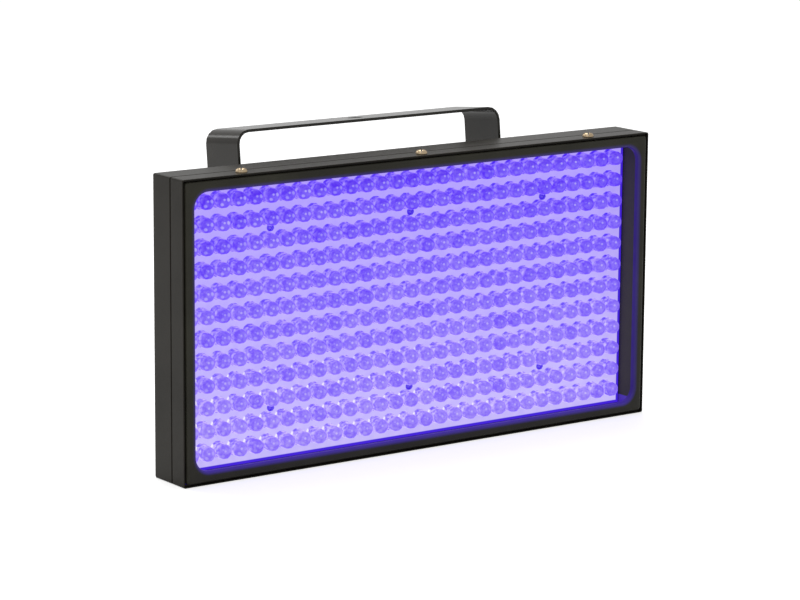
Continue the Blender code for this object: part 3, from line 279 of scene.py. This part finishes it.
# Spots: place from the LED's foot in mm, radius in mm, strength at left, right, top and foot
PAINTED_GLINTS = ((-3.1, -11.9, -2.1, 1.7, 0.55, 0.0, 0.6, 0.4),
          (-4.5, -10.4, 1.6, 1.3, 0.0, 0.2, 0.3, 0.2),
          (-1.8, -12.9, 1.3, 1.1, 0.5, 0.5, 0.6, 0.6),
          (1.2, -13.2, 1.2, 1.8, 0.6, 0.0, 0.6, 0.2),
          (-5.0, -0.3, 3.0, 1.8, 1.6, 0.0, -3.0, 2.2),
          (-4.8, -6.3, 1.9, 1.8, 0.35, 0.6, 0.4, 0.7),
          (-4.9, -2.1, 1.8, 1.3, 0.7, 0.1, 0.0, 0.8))
PAINTED_CUP_SPOTS = ((-5.6, -0.4, 1.4, 1.7, 0.8, 0.5, 0.9, 0.0),
        (-4.6, -2.8, 2.4, 1.5, 0.8, 0.7, 0.8, 0.1),
        (-2.2, -1.2, 4.8, 2.3, 0.6, 1.1, 0.9, 0.5),
        (3.6, -10.0, -3.4, 2.6, 0.8, 0.6, 0.8, 0.7),
        (-1.6, -2.5, 4.9, 1.9, 0.7, 0.8, 0.0, 0.7))

case_low, case_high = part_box("front_frame")
case_middle = (case_low.z + case_high.z) / 2
corner = Vector((LED_SHIFT - (LED_COUNT[0] - 1) / 2 * LED_PITCH.x, board_front,
                 case_middle - LED_DROP - (LED_COUNT[1] - 1) / 2 * LED_PITCH.z))
led_epoxy = new_material("clear_lit_epoxy")
place = add_node(led_epoxy, "TexCoord").outputs["Object"]
array = add_node(led_epoxy, "VectorMath", {0: place, 1: corner}, operation="SUBTRACT").outputs[0]
inside = add_node(led_epoxy, "VectorMath", {0: array, 1: LED_PITCH / 2, 2: -LED_PITCH / 2},
                  operation="WRAP").outputs[0]
cell = add_node(led_epoxy, "VectorMath", {0: array, 1: LED_PITCH}, operation="DIVIDE").outputs[0]
cell = add_node(led_epoxy, "VectorMath", {0: cell, 1: (0.5, 0.5, 0.5)}, operation="ADD").outputs[0]
cell = add_node(led_epoxy, "VectorMath", {0: cell}, operation="FLOOR").outputs[0]
pick = add_node(led_epoxy, "TexWhiteNoise", {"Vector": cell}).outputs["Value"]
blotch = add_node(led_epoxy, "TexNoise", {"Vector": place, "Scale": 1 / LED_BLOTCH, "Detail": 1.0,
                                          "Distortion": BLOTCH_TWIST})
blotch = add_node(led_epoxy, "MapRange", {"Value": blotch.outputs["Fac"],
                                          "From Min": BLOTCH_EDGES[0],
                                          "From Max": BLOTCH_EDGES[1]}).outputs[0]
depth = add_node(led_epoxy, "SeparateXYZ", {"Vector": inside}).outputs["Y"]
body = add_node(led_epoxy, "MapRange", {"Value": depth, "From Min": BLOTCH_FADE[0],
                                        "From Max": BLOTCH_FADE[1], "To Min": TIP_BLOTCH,
                                        "To Max": 1.0}).outputs[0]
pale = add_node(led_epoxy, "Math", {0: blotch, 1: body}, operation="MULTIPLY").outputs[0]
pale = add_node(led_epoxy, "Math", {0: pick, 1: LED_SPREAD, 2: pale},
                operation="MULTIPLY_ADD").outputs[0]
glow = glow_colour(led_epoxy, place, pale, LED_GLOW)
along = add_node(led_epoxy, "SeparateXYZ", {"Vector": array})
spark = add_node(led_epoxy, "MapRange", {"Value": pick, "To Min": SPARK_RANGE[0],
                                         "To Max": SPARK_RANGE[1]}).outputs[0]
# Painted spots over the LEDs' glow: first the cup spots seen through the epoxy, then the highlights
for colour, spots in ((PAINTED_CUP_VIOLET, PAINTED_CUP_SPOTS), (PAINTED_GLINT_WHITE, PAINTED_GLINTS)):
    spot = None
    for x, y, z, radius, left, right, top, foot in spots:
        away = add_node(led_epoxy, "VectorMath", {0: inside, 1: (x / 1000, y / 1000, z / 1000)},
                        operation="DISTANCE").outputs["Value"]
        light = add_node(led_epoxy, "MapRange", {
            "Value": away, "From Min": radius / 1000, "From Max": SPOT_CORE * radius / 1000},
            interpolation_type="SMOOTHSTEP").outputs[0]
        across = add_node(led_epoxy, "MapRange", {
            "Value": along.outputs["X"], "From Max": (LED_COUNT[0] - 1) * LED_PITCH.x,
            "To Min": left, "To Max": right}).outputs[0]
        down = add_node(led_epoxy, "MapRange", {
            "Value": along.outputs["Z"], "From Max": (LED_COUNT[1] - 1) * LED_PITCH.z,
            "To Min": foot, "To Max": top}).outputs[0]
        light = add_node(led_epoxy, "Math", {0: light, 1: across}, operation="MULTIPLY").outputs[0]
        light = add_node(led_epoxy, "Math", {0: light, 1: down}, operation="MULTIPLY").outputs[0]
        spot = light if spot is None else add_node(led_epoxy, "Math", {0: spot, 1: light},
                                                   operation="MAXIMUM").outputs[0]
    spot = add_node(led_epoxy, "Math", {0: spot, 1: spark}, operation="MULTIPLY").outputs[0]
    glow = add_node(led_epoxy, "Mix", {"Factor": spot, 6: glow, 7: hex_colour(colour)},
                    data_type="RGBA", clamp_factor=True).outputs[2]
show_shader(led_epoxy, add_node(led_epoxy, "BsdfPrincipled", {
    "Base Color": hex_colour(EPOXY_DARK), "Roughness": EPOXY_ROUGHNESS, "IOR": EPOXY_IOR,
    "Emission Color": glow, "Emission Strength": LED_POWER}))


def spin_profile(bm, profile, centre, axis, steps):
    """Turn (radius, height) points into a round solid; height runs along the axis from centre."""
    side = axis.orthogonal().normalized()
    verts = [bm.verts.new(centre + side * radius + axis * height) for radius, height in profile]
    edges = [bm.edges.new(pair) for pair in zip(verts, verts[1:])]
    bmesh.ops.spin(bm, geom=verts + edges, cent=centre, axis=axis, angle=math.tau, steps=steps,
                   use_merge=True)
    bmesh.ops.remove_doubles(bm, verts=bm.verts, dist=MERGE)


def repeat_shape(bm, count, step):
    """Set copies of all that the bmesh holds in a row."""
    first = list(bm.verts) + list(bm.edges) + list(bm.faces)
    for number in range(1, count):
        copy = bmesh.ops.duplicate(bm, geom=first)["geom"]
        bmesh.ops.translate(bm, verts=[v for v in copy if isinstance(v, bmesh.types.BMVert)],
                            vec=Vector(step) * number)


bm = bmesh.new()
profile = [(0, LED_PROFILE[0][1])] + list(LED_PROFILE)
for step in range(1, DOME_RINGS + 1):
    angle = math.radians(90) * step / DOME_RINGS
    profile.append((DOME_RADIUS * math.cos(angle),
                    LED_PROFILE[-1][1] + DOME_RADIUS * math.sin(angle)))
spin_profile(bm, profile, corner, AHEAD, LED_SIDES)
repeat_shape(bm, LED_COUNT[0], (LED_PITCH.x, 0, 0))
repeat_shape(bm, LED_COUNT[1], (0, 0, LED_PITCH.z))
make_piece("led_array", bm, led_epoxy, "lamp", "led_board", "led_board")


# ---- Window bezel ----
# A folded ring of 0.8 mm sheet, painted satin black: a deep flange that slips inside the frame, a
# 7.1 mm border with round edges, and a lip rolled in round the window. The LEDs' light is painted
# in its emission as a violet halo round the window and a pool along the foot of the flange. The
# flange is painted paler inside, for the light that falls there.
BEZEL_SHEET = 0.0008
BEZEL_BORDER = 0.0071
BEZEL_BEND = 0.0020
BEZEL_LIP = 0.0040
BEZEL_CORNER = 0.0020
WINDOW_CORNER = 0.0105
CORNER_STEPS = 10
ARC_STEPS = 5
BEZEL_PAINT = "#302F28"
BEZEL_WORN = "#3A3930"
PAINT_ROUGHNESS = 0.36
# Paler colour painted inside the flange, for the light that falls there
FLANGE_PAINTED_LIGHT = "#4A4B36"
FLANGE_START = 0.0046
FLANGE_BLEND = 0.0006
# Painted glow of the LEDs' light on the bezel: a halo round the window and a pool at the flange's
# foot
HALO_VIOLET = "#5B2CFF"
HALO_REACH = 0.0032
# Strength of the halo above and at the foot, and the heights over the foot where it changes
HALO_STRENGTH = (0.14, 0.27)
HALO_FOOT = (0.014, 0.006)
POOL_TOP = 0.0074
POOL_BLEND = 0.0005
POOL_STRENGTH = 0.35
bezel_low, bezel_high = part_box("window_bezel")


def window_loop(bm, inset, depth, corner):
    """Edges of a rounded rectangle, set in from the bezel's outside, at a depth behind its face."""
    width = bezel_high.x - bezel_low.x - 2 * inset
    height = bezel_high.z - bezel_low.z - 2 * inset
    place = Matrix.Translation((0, bezel_low.y + depth, case_middle))
    bmesh.ops.create_grid(bm, x_segments=1, y_segments=1, size=0.5,
                          matrix=place @ Matrix.Rotation(math.radians(90), 4, "X")
                          @ Matrix.Diagonal((width, height, 1, 1)))
    panel = [face for face in bm.faces if not any(len(e.link_faces) > 1 for e in face.edges)][-1]
    bmesh.ops.bevel(bm, geom=list(panel.verts), offset=corner, segments=CORNER_STEPS, profile=0.5,
                    affect="VERTICES", material=-1)
    panel = max(bm.faces, key=lambda face: len(face.verts))
    edges = list(panel.edges)
    bmesh.ops.delete(bm, geom=[panel], context="FACES_ONLY")
    return edges


# Stations: inset from the outside, depth behind the face, and corner radius
angles = [math.radians(90) * step / ARC_STEPS for step in range(ARC_STEPS + 1)]
bend = [(BEZEL_BEND * (1 - math.cos(angle)), BEZEL_BEND * (1 - math.sin(angle))) for angle in angles]
stations = [(0, bezel_high.y - bezel_low.y, BEZEL_CORNER)]
stations += [(inset, depth, BEZEL_CORNER) for inset, depth in bend]
stations += [(BEZEL_BORDER - inset, depth, WINDOW_CORNER + inset) for depth, inset in bend]
stations.append((BEZEL_BORDER, BEZEL_LIP, WINDOW_CORNER))
bm = bmesh.new()
loops = [window_loop(bm, *station) for station in stations]
for near, far in zip(loops, loops[1:]):
    bmesh.ops.bridge_loops(bm, edges=near + far)
bmesh.ops.remove_doubles(bm, verts=bm.verts, dist=MERGE)
bmesh.ops.recalc_face_normals(bm, faces=bm.faces)
bmesh.ops.solidify(bm, geom=list(bm.faces), thickness=BEZEL_SHEET)
satin_paint = grained_finish("satin_black_paint_painted_glow", BEZEL_PAINT, BEZEL_WORN, POWDER_GRAIN,
                             PAINT_ROUGHNESS, shine=POWDER_SHINE)
place = add_node(satin_paint, "TexCoord").outputs["Object"]
centred = add_node(satin_paint, "VectorMath", {0: place, 1: (0, 0, case_middle)},
                   operation="SUBTRACT").outputs[0]
centred = add_node(satin_paint, "VectorMath", {0: centred}, operation="ABSOLUTE").outputs[0]
inset = BEZEL_BORDER + WINDOW_CORNER
edge = (bezel_high.x - inset, 0, bezel_high.z - case_middle - inset)
beyond = add_node(satin_paint, "VectorMath", {0: centred, 1: edge},
                  operation="SUBTRACT").outputs[0]
beyond = add_node(satin_paint, "VectorMath", {0: beyond, 1: (0, 0, 0)},
                  operation="MAXIMUM").outputs[0]
beyond = add_node(satin_paint, "VectorMath", {0: beyond, 1: (1, 0, 1)},
                  operation="MULTIPLY").outputs[0]
beyond = add_node(satin_paint, "VectorMath", {0: beyond}, operation="LENGTH").outputs["Value"]
halo = add_node(satin_paint, "MapRange", {
    "Value": beyond, "From Min": WINDOW_CORNER + HALO_REACH, "From Max": WINDOW_CORNER},
    interpolation_type="SMOOTHSTEP").outputs[0]
split = add_node(satin_paint, "SeparateXYZ", {"Vector": place})
lower = add_node(satin_paint, "MapRange", {
    "Value": split.outputs["Z"], "From Min": bezel_low.z + HALO_FOOT[0],
    "From Max": bezel_low.z + HALO_FOOT[1], "To Min": HALO_STRENGTH[0],
    "To Max": HALO_STRENGTH[1]}).outputs[0]
halo = add_node(satin_paint, "Math", {0: halo, 1: lower}, operation="MULTIPLY").outputs[0]
shader = satin_paint.node_tree.nodes["Principled BSDF"]
deep = add_node(satin_paint, "MapRange", {
    "Value": split.outputs["Y"], "From Min": bezel_low.y + FLANGE_START,
    "From Max": bezel_low.y + FLANGE_START + FLANGE_BLEND}).outputs[0]
pool = add_node(satin_paint, "MapRange", {
    "Value": split.outputs["Z"], "From Min": bezel_low.z + POOL_TOP,
    "From Max": bezel_low.z + POOL_TOP - POOL_BLEND, "To Max": POOL_STRENGTH}).outputs[0]
pool = add_node(satin_paint, "Math", {0: pool, 1: deep}, operation="MULTIPLY").outputs[0]
halo = add_node(satin_paint, "Math", {0: halo, 1: pool}, operation="ADD").outputs[0]
# Paint the flange's inside paler for the light on it, and the halo and pool as violet emission
coat = shader.inputs["Base Color"].links[0].from_socket
coat = add_node(satin_paint, "Mix", {"Factor": deep, 6: coat, 7: hex_colour(FLANGE_PAINTED_LIGHT)},
                data_type="RGBA").outputs[2]
satin_paint.node_tree.links.new(coat, shader.inputs["Base Color"])
shader.inputs["Emission Color"].default_value = hex_colour(HALO_VIOLET)
satin_paint.node_tree.links.new(halo, shader.inputs["Emission Strength"])
make_piece("bezel_ring", bm, satin_paint, "lamp", "bezel", "window_bezel")


# ---- Screws ----
# Machine screws with pan heads and a cross slot. The ones on the top and bottom and in the rear
# flanges are yellow-passivated zinc. The ones that hold the board are bright zinc, with the LEDs'
# light they catch painted on as a violet tint and glow. The bottom's three are countersunk, so
# that the light stands flat.
ZINC_GOLD = "#D6C2A4"
ZINC_GOLD_DULL = "#A8916E"
# Painted light on the board's screws: a violet tint and glow for the LEDs' light they catch
ZINC_PAINTED_LIT = "#7A72A6"
ZINC_PAINTED_LIT_DULL = "#5E5691"
ZINC_PAINTED_GLOW = "#4A22F0"
ZINC_POWER = 0.6
# Sizes: radius of the head, its height, and radius of the shank
M4_SCREW = (0.0040, 0.0025, 0.0019)
M3_SCREW = (0.0027, 0.0020, 0.0014)
UP = Vector((0, 0, 1))
SCREW_SIDES = 24
# Heads: shares of the radius and of the height, from the middle of the top outwards
HEAD_RINGS = ((0.0, 1.0), (0.30, 0.99), (0.62, 0.90), (0.86, 0.66), (0.98, 0.28), (1.0, 0.0))
SUNK_RINGS = ((0.0, 1.0), (0.28, 1.0), (0.62, 1.0), (1.0, 1.0), (1.0, 0.9))
RECESS_REACH = 0.95
RECESS_HALF = 0.13
RECESS_FLOOR = 0.30
# Degrees that turn one arm of the cross towards the camera
RECESS_TURN = 54


def add_screw(bm, centre, axis, radius, height, shank, length, rings):
    """Screw whose head rises from centre along the axis, with a cross slot cut to its rim."""
    part = bmesh.new()
    profile = [(radius * out, height * up) for out, up in rings]
    profile += [(shank, 0), (shank, -length), (0, -length)]
    spin_profile(part, profile, Vector(), UP, SCREW_SIDES)
    half = radius * RECESS_HALF
    for side in (Vector((1, 0, 0)), Vector((0, 1, 0)), Vector((-1, 0, 0)), Vector((0, -1, 0))):
        bmesh.ops.bisect_plane(part, geom=list(part.verts) + list(part.edges) + list(part.faces),
                               plane_co=side * half, plane_no=side)
    cross = []
    for face in part.faces:
        middle = face.calc_center_median()
        if (middle.z > height * RECESS_FLOOR and middle.to_2d().length < radius * RECESS_REACH
                and min(abs(middle.x), abs(middle.y)) < half):
            cross.append(face)
    sunk = bmesh.ops.extrude_face_region(part, geom=cross)["geom"]
    bmesh.ops.delete(part, geom=cross, context="FACES")
    for item in sunk:
        if isinstance(item, bmesh.types.BMVert):
            item.co.z = height * RECESS_FLOOR
    turn = (UP.rotation_difference(axis).to_matrix().to_4x4()
            @ Matrix.Rotation(math.radians(RECESS_TURN), 4, "Z"))
    part.transform(Matrix.Translation(centre) @ turn)
    mesh = bpy.data.meshes.new("screw")
    part.to_mesh(mesh)
    part.free()
    bm.from_mesh(mesh)
    bpy.data.meshes.remove(mesh)


gold_zinc = grained_finish("yellow_passivated_zinc", ZINC_GOLD, ZINC_GOLD_DULL, grain=0.0008,
                           roughness=0.32, metallic=1.0)
painted_lit_zinc = grained_finish("bright_zinc_painted_violet_light", ZINC_PAINTED_LIT, ZINC_PAINTED_LIT_DULL, grain=0.0010,
                          roughness=0.30, metallic=1.0)
# The board's screws glow violet: painted light
shader = painted_lit_zinc.node_tree.nodes["Principled BSDF"]
shader.inputs["Emission Color"].default_value = hex_colour(ZINC_PAINTED_GLOW)
shader.inputs["Emission Strength"].default_value = ZINC_POWER


def screw_row(piece, axis, size, finish, *screws, rings=HEAD_RINGS):
    """One piece of like screws, each standing for its CAD node."""
    radius, height, shank = size
    bm = bmesh.new()
    for name in screws:
        low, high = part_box(name)
        middle = (low + high) / 2
        reach = (high - low).dot(Vector([abs(c) for c in axis]))
        seat = middle + axis * (reach / 2 - height)
        add_screw(bm, seat, axis, radius, height, shank, reach - height, rings)
    make_piece(piece, bm, finish, "lamp", "screws", *screws)


screw_row("top_screws", UP, M4_SCREW, gold_zinc,
          "top_screw_left", "top_screw_middle", "top_screw_right")
screw_row("bottom_screws", -UP, M4_SCREW, gold_zinc,
          "bottom_screw_left", "bottom_screw_middle", "bottom_screw_right", rings=SUNK_RINGS)
screw_row("board_screws", AHEAD, M3_SCREW, painted_lit_zinc,
          *["board_screw_%d" % number for number in range(1, 7)])
screw_row("housing_screws", -AHEAD, M3_SCREW, gold_zinc,
          *["housing_screw_%d" % number for number in range(1, 5)])


# ---- Rear housing ----
# A deep folded steel cover with two side flanges, air slots and the cut-outs of the rear panel,
# powder coated like the casing and held on its back by four screws.
ease_node("rear_housing", "housing_cover", powder_coat, "lamp", "casing", SHEET_EASE)


# ---- Electronics inside ----
# The supply is a switching unit in a galvanised steel box. The control board is green-lacquered
# glass epoxy, and a black rubber grommet guards the lead in the casing's back.
galvanised = grained_finish("galvanised_steel", "#A9ADB0", "#8B9094", grain=0.0020,
                            roughness=0.38, metallic=1.0)
green_board = grained_finish("green_board_lacquer", "#1F5A38", "#17472C", grain=0.0012,
                             roughness=0.35)
rubber = grained_finish("black_rubber", "#1C1C1C", "#262626", grain=0.0010, roughness=0.70)


def dress_node(node, material):
    """Give a CAD node that stays in view its finish."""
    nodes[node].data.materials.clear()
    nodes[node].data.materials.append(material)


dress_node("power_supply", galvanised)
dress_node("control_board", green_board)
dress_node("lead_grommet", rubber)


# ---- Display and menu buttons ----
# A smoked acrylic window, and four round buttons moulded in dark grey ABS, each with a soft dome
# and a wide foot that keeps it behind the panel.
PANE_EASE = 0.0003
BUTTON_SIDES = 32
# Outline: radius, and depth below the dome's top
BUTTON_OUTLINE = ((0.0, 0.0), (0.0016, 0.00004), (0.0028, 0.00018), (0.0035, 0.00045),
                  (0.0039, 0.0009), (0.0040, 0.0014), (0.0040, 0.0045), (0.0055, 0.0045),
                  (0.0055, 0.0057), (0.0, 0.0057))
smoked_acrylic = grained_finish("smoked_acrylic", "#0B0506", "#10080A", grain=0.0060,
                                roughness=0.09, shine=0.25)
button_plastic = grained_finish("grey_abs", "#3A3B3D", "#434446", grain=0.0010, roughness=0.45)
ease_node("display_window", "display_pane", smoked_acrylic, "lamp", "display", PANE_EASE)
for number in range(1, 5):
    low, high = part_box("menu_button_%d" % number)
    top = Vector(((low.x + high.x) / 2, high.y, (low.z + high.z) / 2))
    bm = bmesh.new()
    spin_profile(bm, BUTTON_OUTLINE, top, AHEAD, BUTTON_SIDES)
    make_piece("button_cap_%d" % number, bm, button_plastic, "button_%d" % number, "knobs",
               "menu_button_%d" % number)


# ---- Data sockets ----
# Panel sockets moulded in black glass-filled nylon, with gold-plated pins in the input and a
# sprung, nickel-plated steel latch on the output.
FITTING_EASE = 0.0004
black_nylon = grained_finish("black_glass_filled_nylon", "#1F1F1F", "#282828", grain=0.0009,
                             roughness=0.42, shine=0.3)
satin_nickel = grained_finish("satin_nickel", "#9C9A96", "#8A8884", grain=0.0009, roughness=0.30,
                              metallic=1.0)
gold_plate = grained_finish("gold_plate", "#D6B25A", "#C79E48", grain=0.0009, roughness=0.22,
                            metallic=1.0)
ease_node("dmx_in_socket", "data_in_socket", black_nylon, "lamp", "sockets", FITTING_EASE)
ease_node("dmx_out_socket", "data_out_socket", black_nylon, "lamp", "sockets", FITTING_EASE)
ease_node("dmx_out_latch", "data_out_latch", satin_nickel, "latch", "contacts", FITTING_EASE)
for number in range(1, 4):
    ease_node("dmx_pin_%d" % number, "data_pin_%d" % number, gold_plate, "lamp", "contacts",
              FITTING_EASE)


# ---- Mains inlet and fuse ----
# Both are moulded in the same black nylon. The inlet's blades are nickel-plated brass, and the
# fuse is a small glass tube.
FUSE_EASE = 0.0003
fuse_glass = grained_finish("fuse_glass", "#B8C0BE", "#A9B2B0", grain=0.0012, roughness=0.10)
ease_node("mains_inlet", "power_inlet", black_nylon, "lamp", "sockets", FITTING_EASE)
for blade in ("line", "earth", "neutral"):
    ease_node("inlet_blade_" + blade, "power_blade_" + blade, satin_nickel, "lamp", "contacts",
              FITTING_EASE)
ease_node("fuse_holder", "fuse_carrier", black_nylon, "lamp", "sockets", FUSE_EASE)
ease_node("fuse_cap", "fuse_turn_cap", black_nylon, "cap", "sockets", FUSE_EASE)
dress_node("fuse_link", fuse_glass)


# ---- Hanging bracket ----
# A flat steel strap folded into a U, with a hanging hole in its crossbar and round ends about the
# pivots. Its powder coat has the casing's black, but is glossier, with a coarser grain.
STRAP_EASE = 0.0004
strap_coat = grained_finish("gloss_black_powder_coat", POWDER, POWDER_WORN, grain=0.0025,
                            roughness=0.16, shine=0.3)
ease_node("hanging_bracket", "bracket_strap", strap_coat, "bracket", "casing", STRAP_EASE)


# ---- Pivots and clamp knobs ----
# Each side has a zinc-plated bush in the housing's wall, a rubber friction washer, a plated stud
# and a knob moulded in the same black nylon, with a round hub and six soft lobes. The knob is
# lofted through rings that start at the foot of its bore.
KNOB_SIDES = 72
KNOB_LOBES = 6
LOBE_REACH = 0.0018
# Rings: radius, height from the bracket, and share of the lobes. No two are level, because a
# bridge between level rings fills the inner one.
KNOB_RINGS = ((0.0043, 0.0120, 0), (0.0043, 0.0001, 0), (0.0081, 0.0, 0), (0.0085, 0.0004, 0),
              (0.0085, 0.0062, 0), (0.0088, 0.0068, 0), (0.0094, 0.0070, 0), (0.0153, 0.0071, 1),
              (0.0161, 0.0075, 1), (0.0165, 0.0084, 1), (0.0165, 0.0183, 1), (0.0162, 0.0197, 1),
              (0.0154, 0.0209, 1), (0.0142, 0.0216, 0.95), (0.0127, 0.0219, 0.8),
              (0.0108, 0.0220, 0.3), (0.0100, 0.0218, 0), (0.0094, 0.0214, 0), (0.0085, 0.0213, 0))


def lobed_ring(bm, radius, height, lobe):
    """Edges of a ring about Z whose radius swells into lobes."""
    verts = bmesh.ops.create_circle(bm, segments=KNOB_SIDES, radius=radius,
                                    matrix=Matrix.Translation((0, 0, height)))["verts"]
    for vertex in verts:
        swell = LOBE_REACH * lobe * math.cos(KNOB_LOBES * math.atan2(vertex.co.y, vertex.co.x))
        vertex.co.xy *= 1 + swell / radius
    return list({edge for vertex in verts for edge in vertex.link_edges})


bright_zinc = grained_finish("bright_zinc_plate", "#B4B7BA", "#9DA0A4", grain=0.0010,
                             roughness=0.30, metallic=1.0)
for side, sign in (("left", -1), ("right", 1)):
    dress_node("pivot_bush_" + side, bright_zinc)
    dress_node("friction_washer_" + side, rubber)
    dress_node("knob_stud_" + side, bright_zinc)
    low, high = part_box("clamp_knob_" + side)
    seat = (low + high) / 2
    seat.x = low.x if sign > 0 else high.x
    bm = bmesh.new()
    rings = [lobed_ring(bm, *ring) for ring in KNOB_RINGS]
    for near, far in zip(rings, rings[1:]):
        bmesh.ops.bridge_loops(bm, edges=near + far)
    for end in (rings[0], rings[-1]):
        bmesh.ops.contextual_create(bm, geom=end)
    turn = Matrix.Rotation(sign * math.radians(90), 4, "Y")
    bmesh.ops.transform(bm, matrix=Matrix.Translation(seat) @ turn, verts=bm.verts)
    make_piece("grip_knob_" + side, bm, black_nylon, "knob_" + side, "knobs", "clamp_knob_" + side)


# ---- Floor, light and camera ----
# A white studio floor in a white surround, under three softboxes: one from the front left, one from
# above and one from behind on the left. The camera stands to the front left and a little above.
FLOOR_WHITE = "#E6E6E6"
FLOOR_RADIUS = 8.0
FLOOR_SIDES = 64
FLOOR_LIFT = 0.62
MIRROR_LIFT = 0.4
WORLD_LIGHT = 0.48
SOFTBOX_SIDE = 0.9
LIGHT_AIM = Vector((0, 0, 0.1))
# Softboxes: name, place, and power in watts
SOFTBOXES = (("left_softbox", (-1.6, -1.2, 1.5), 5),
             ("top_softbox", (0.3, 0.6, 1.8), 15),
             ("back_softbox", (-0.9, 1.7, 1.3), 6))
CAMERA_LENS = 143.55
CAMERA_SENSOR = 36.0
AZIMUTH = -35.958
ELEVATION = 11.290
ROLL = 0.4215
# The middle of the casing's front, as it stands in the camera's own axes
CASE_IN_VIEW = Vector((0.017791, -0.002111, -2.162173))


def seen_share(owner):
    """1 where the camera looks, MIRROR_LIFT in what gloss and glass show, and 0 in all else."""
    path = add_node(owner, "LightPath")
    seen = add_node(owner, "Math", {0: path.outputs["Is Glossy Ray"],
                                    1: path.outputs["Is Transmission Ray"]}, operation="MAXIMUM")
    seen = add_node(owner, "Math", {0: seen.outputs[0], 1: MIRROR_LIFT}, operation="MULTIPLY")
    return add_node(owner, "Math", {0: path.outputs["Is Camera Ray"], 1: seen.outputs[0]},
                    operation="MAXIMUM").outputs[0]


floor_paper = new_material("white_floor")
white = add_node(floor_paper, "BsdfDiffuse", {"Color": hex_colour(FLOOR_WHITE)})
lift = add_node(floor_paper, "Emission", {"Color": (1, 1, 1, 1), "Strength": FLOOR_LIFT})
both = add_node(floor_paper, "AddShader", {0: white.outputs[0], 1: lift.outputs[0]})
pick = add_node(floor_paper, "MixShader", {0: seen_share(floor_paper), 1: white.outputs[0],
                                           2: both.outputs[0]})
show_shader(floor_paper, pick)
bm = bmesh.new()
bmesh.ops.create_circle(bm, cap_ends=True, segments=FLOOR_SIDES, radius=FLOOR_RADIUS)
mesh = bpy.data.meshes.new("floor")
bm.to_mesh(mesh)
bm.free()
mesh.materials.append(floor_paper)
floor = bpy.data.objects.new("floor", mesh)
bpy.context.scene.collection.objects.link(floor)

world = bpy.data.worlds.new("studio")
bpy.context.scene.world = world
world.use_nodes = True
world.node_tree.nodes.clear()
level = add_node(world, "MapRange", {"Value": seen_share(world), "To Min": WORLD_LIGHT})
sky = add_node(world, "Background", {"Color": (1, 1, 1, 1), "Strength": level.outputs[0]})
add_node(world, "OutputWorld", {"Surface": sky.outputs[0]})

for name, place, power in SOFTBOXES:
    data = bpy.data.lights.new(name, "AREA")
    data.size = SOFTBOX_SIDE
    data.energy = power
    lamp = bpy.data.objects.new(name, data)
    lamp.location = place
    lamp.rotation_euler = (LIGHT_AIM - Vector(place)).to_track_quat("-Z", "Y").to_euler()
    bpy.context.scene.collection.objects.link(lamp)

camera_data = bpy.data.cameras.new("camera")
camera_data.lens = CAMERA_LENS
camera_data.sensor_width = CAMERA_SENSOR
camera = bpy.data.objects.new("camera", camera_data)
turn = (Euler((0, 0, math.radians(AZIMUTH))).to_matrix()
        @ Euler((math.radians(90 - ELEVATION), 0, 0)).to_matrix()
        @ Euler((0, 0, math.radians(ROLL))).to_matrix())
camera.rotation_euler = turn.to_euler()
camera.location = Vector((0, case_low.y, case_middle)) - turn @ CASE_IN_VIEW
bpy.context.scene.collection.objects.link(camera)
bpy.context.scene.camera = camera
bpy.context.scene.view_settings.view_transform = "Standard"
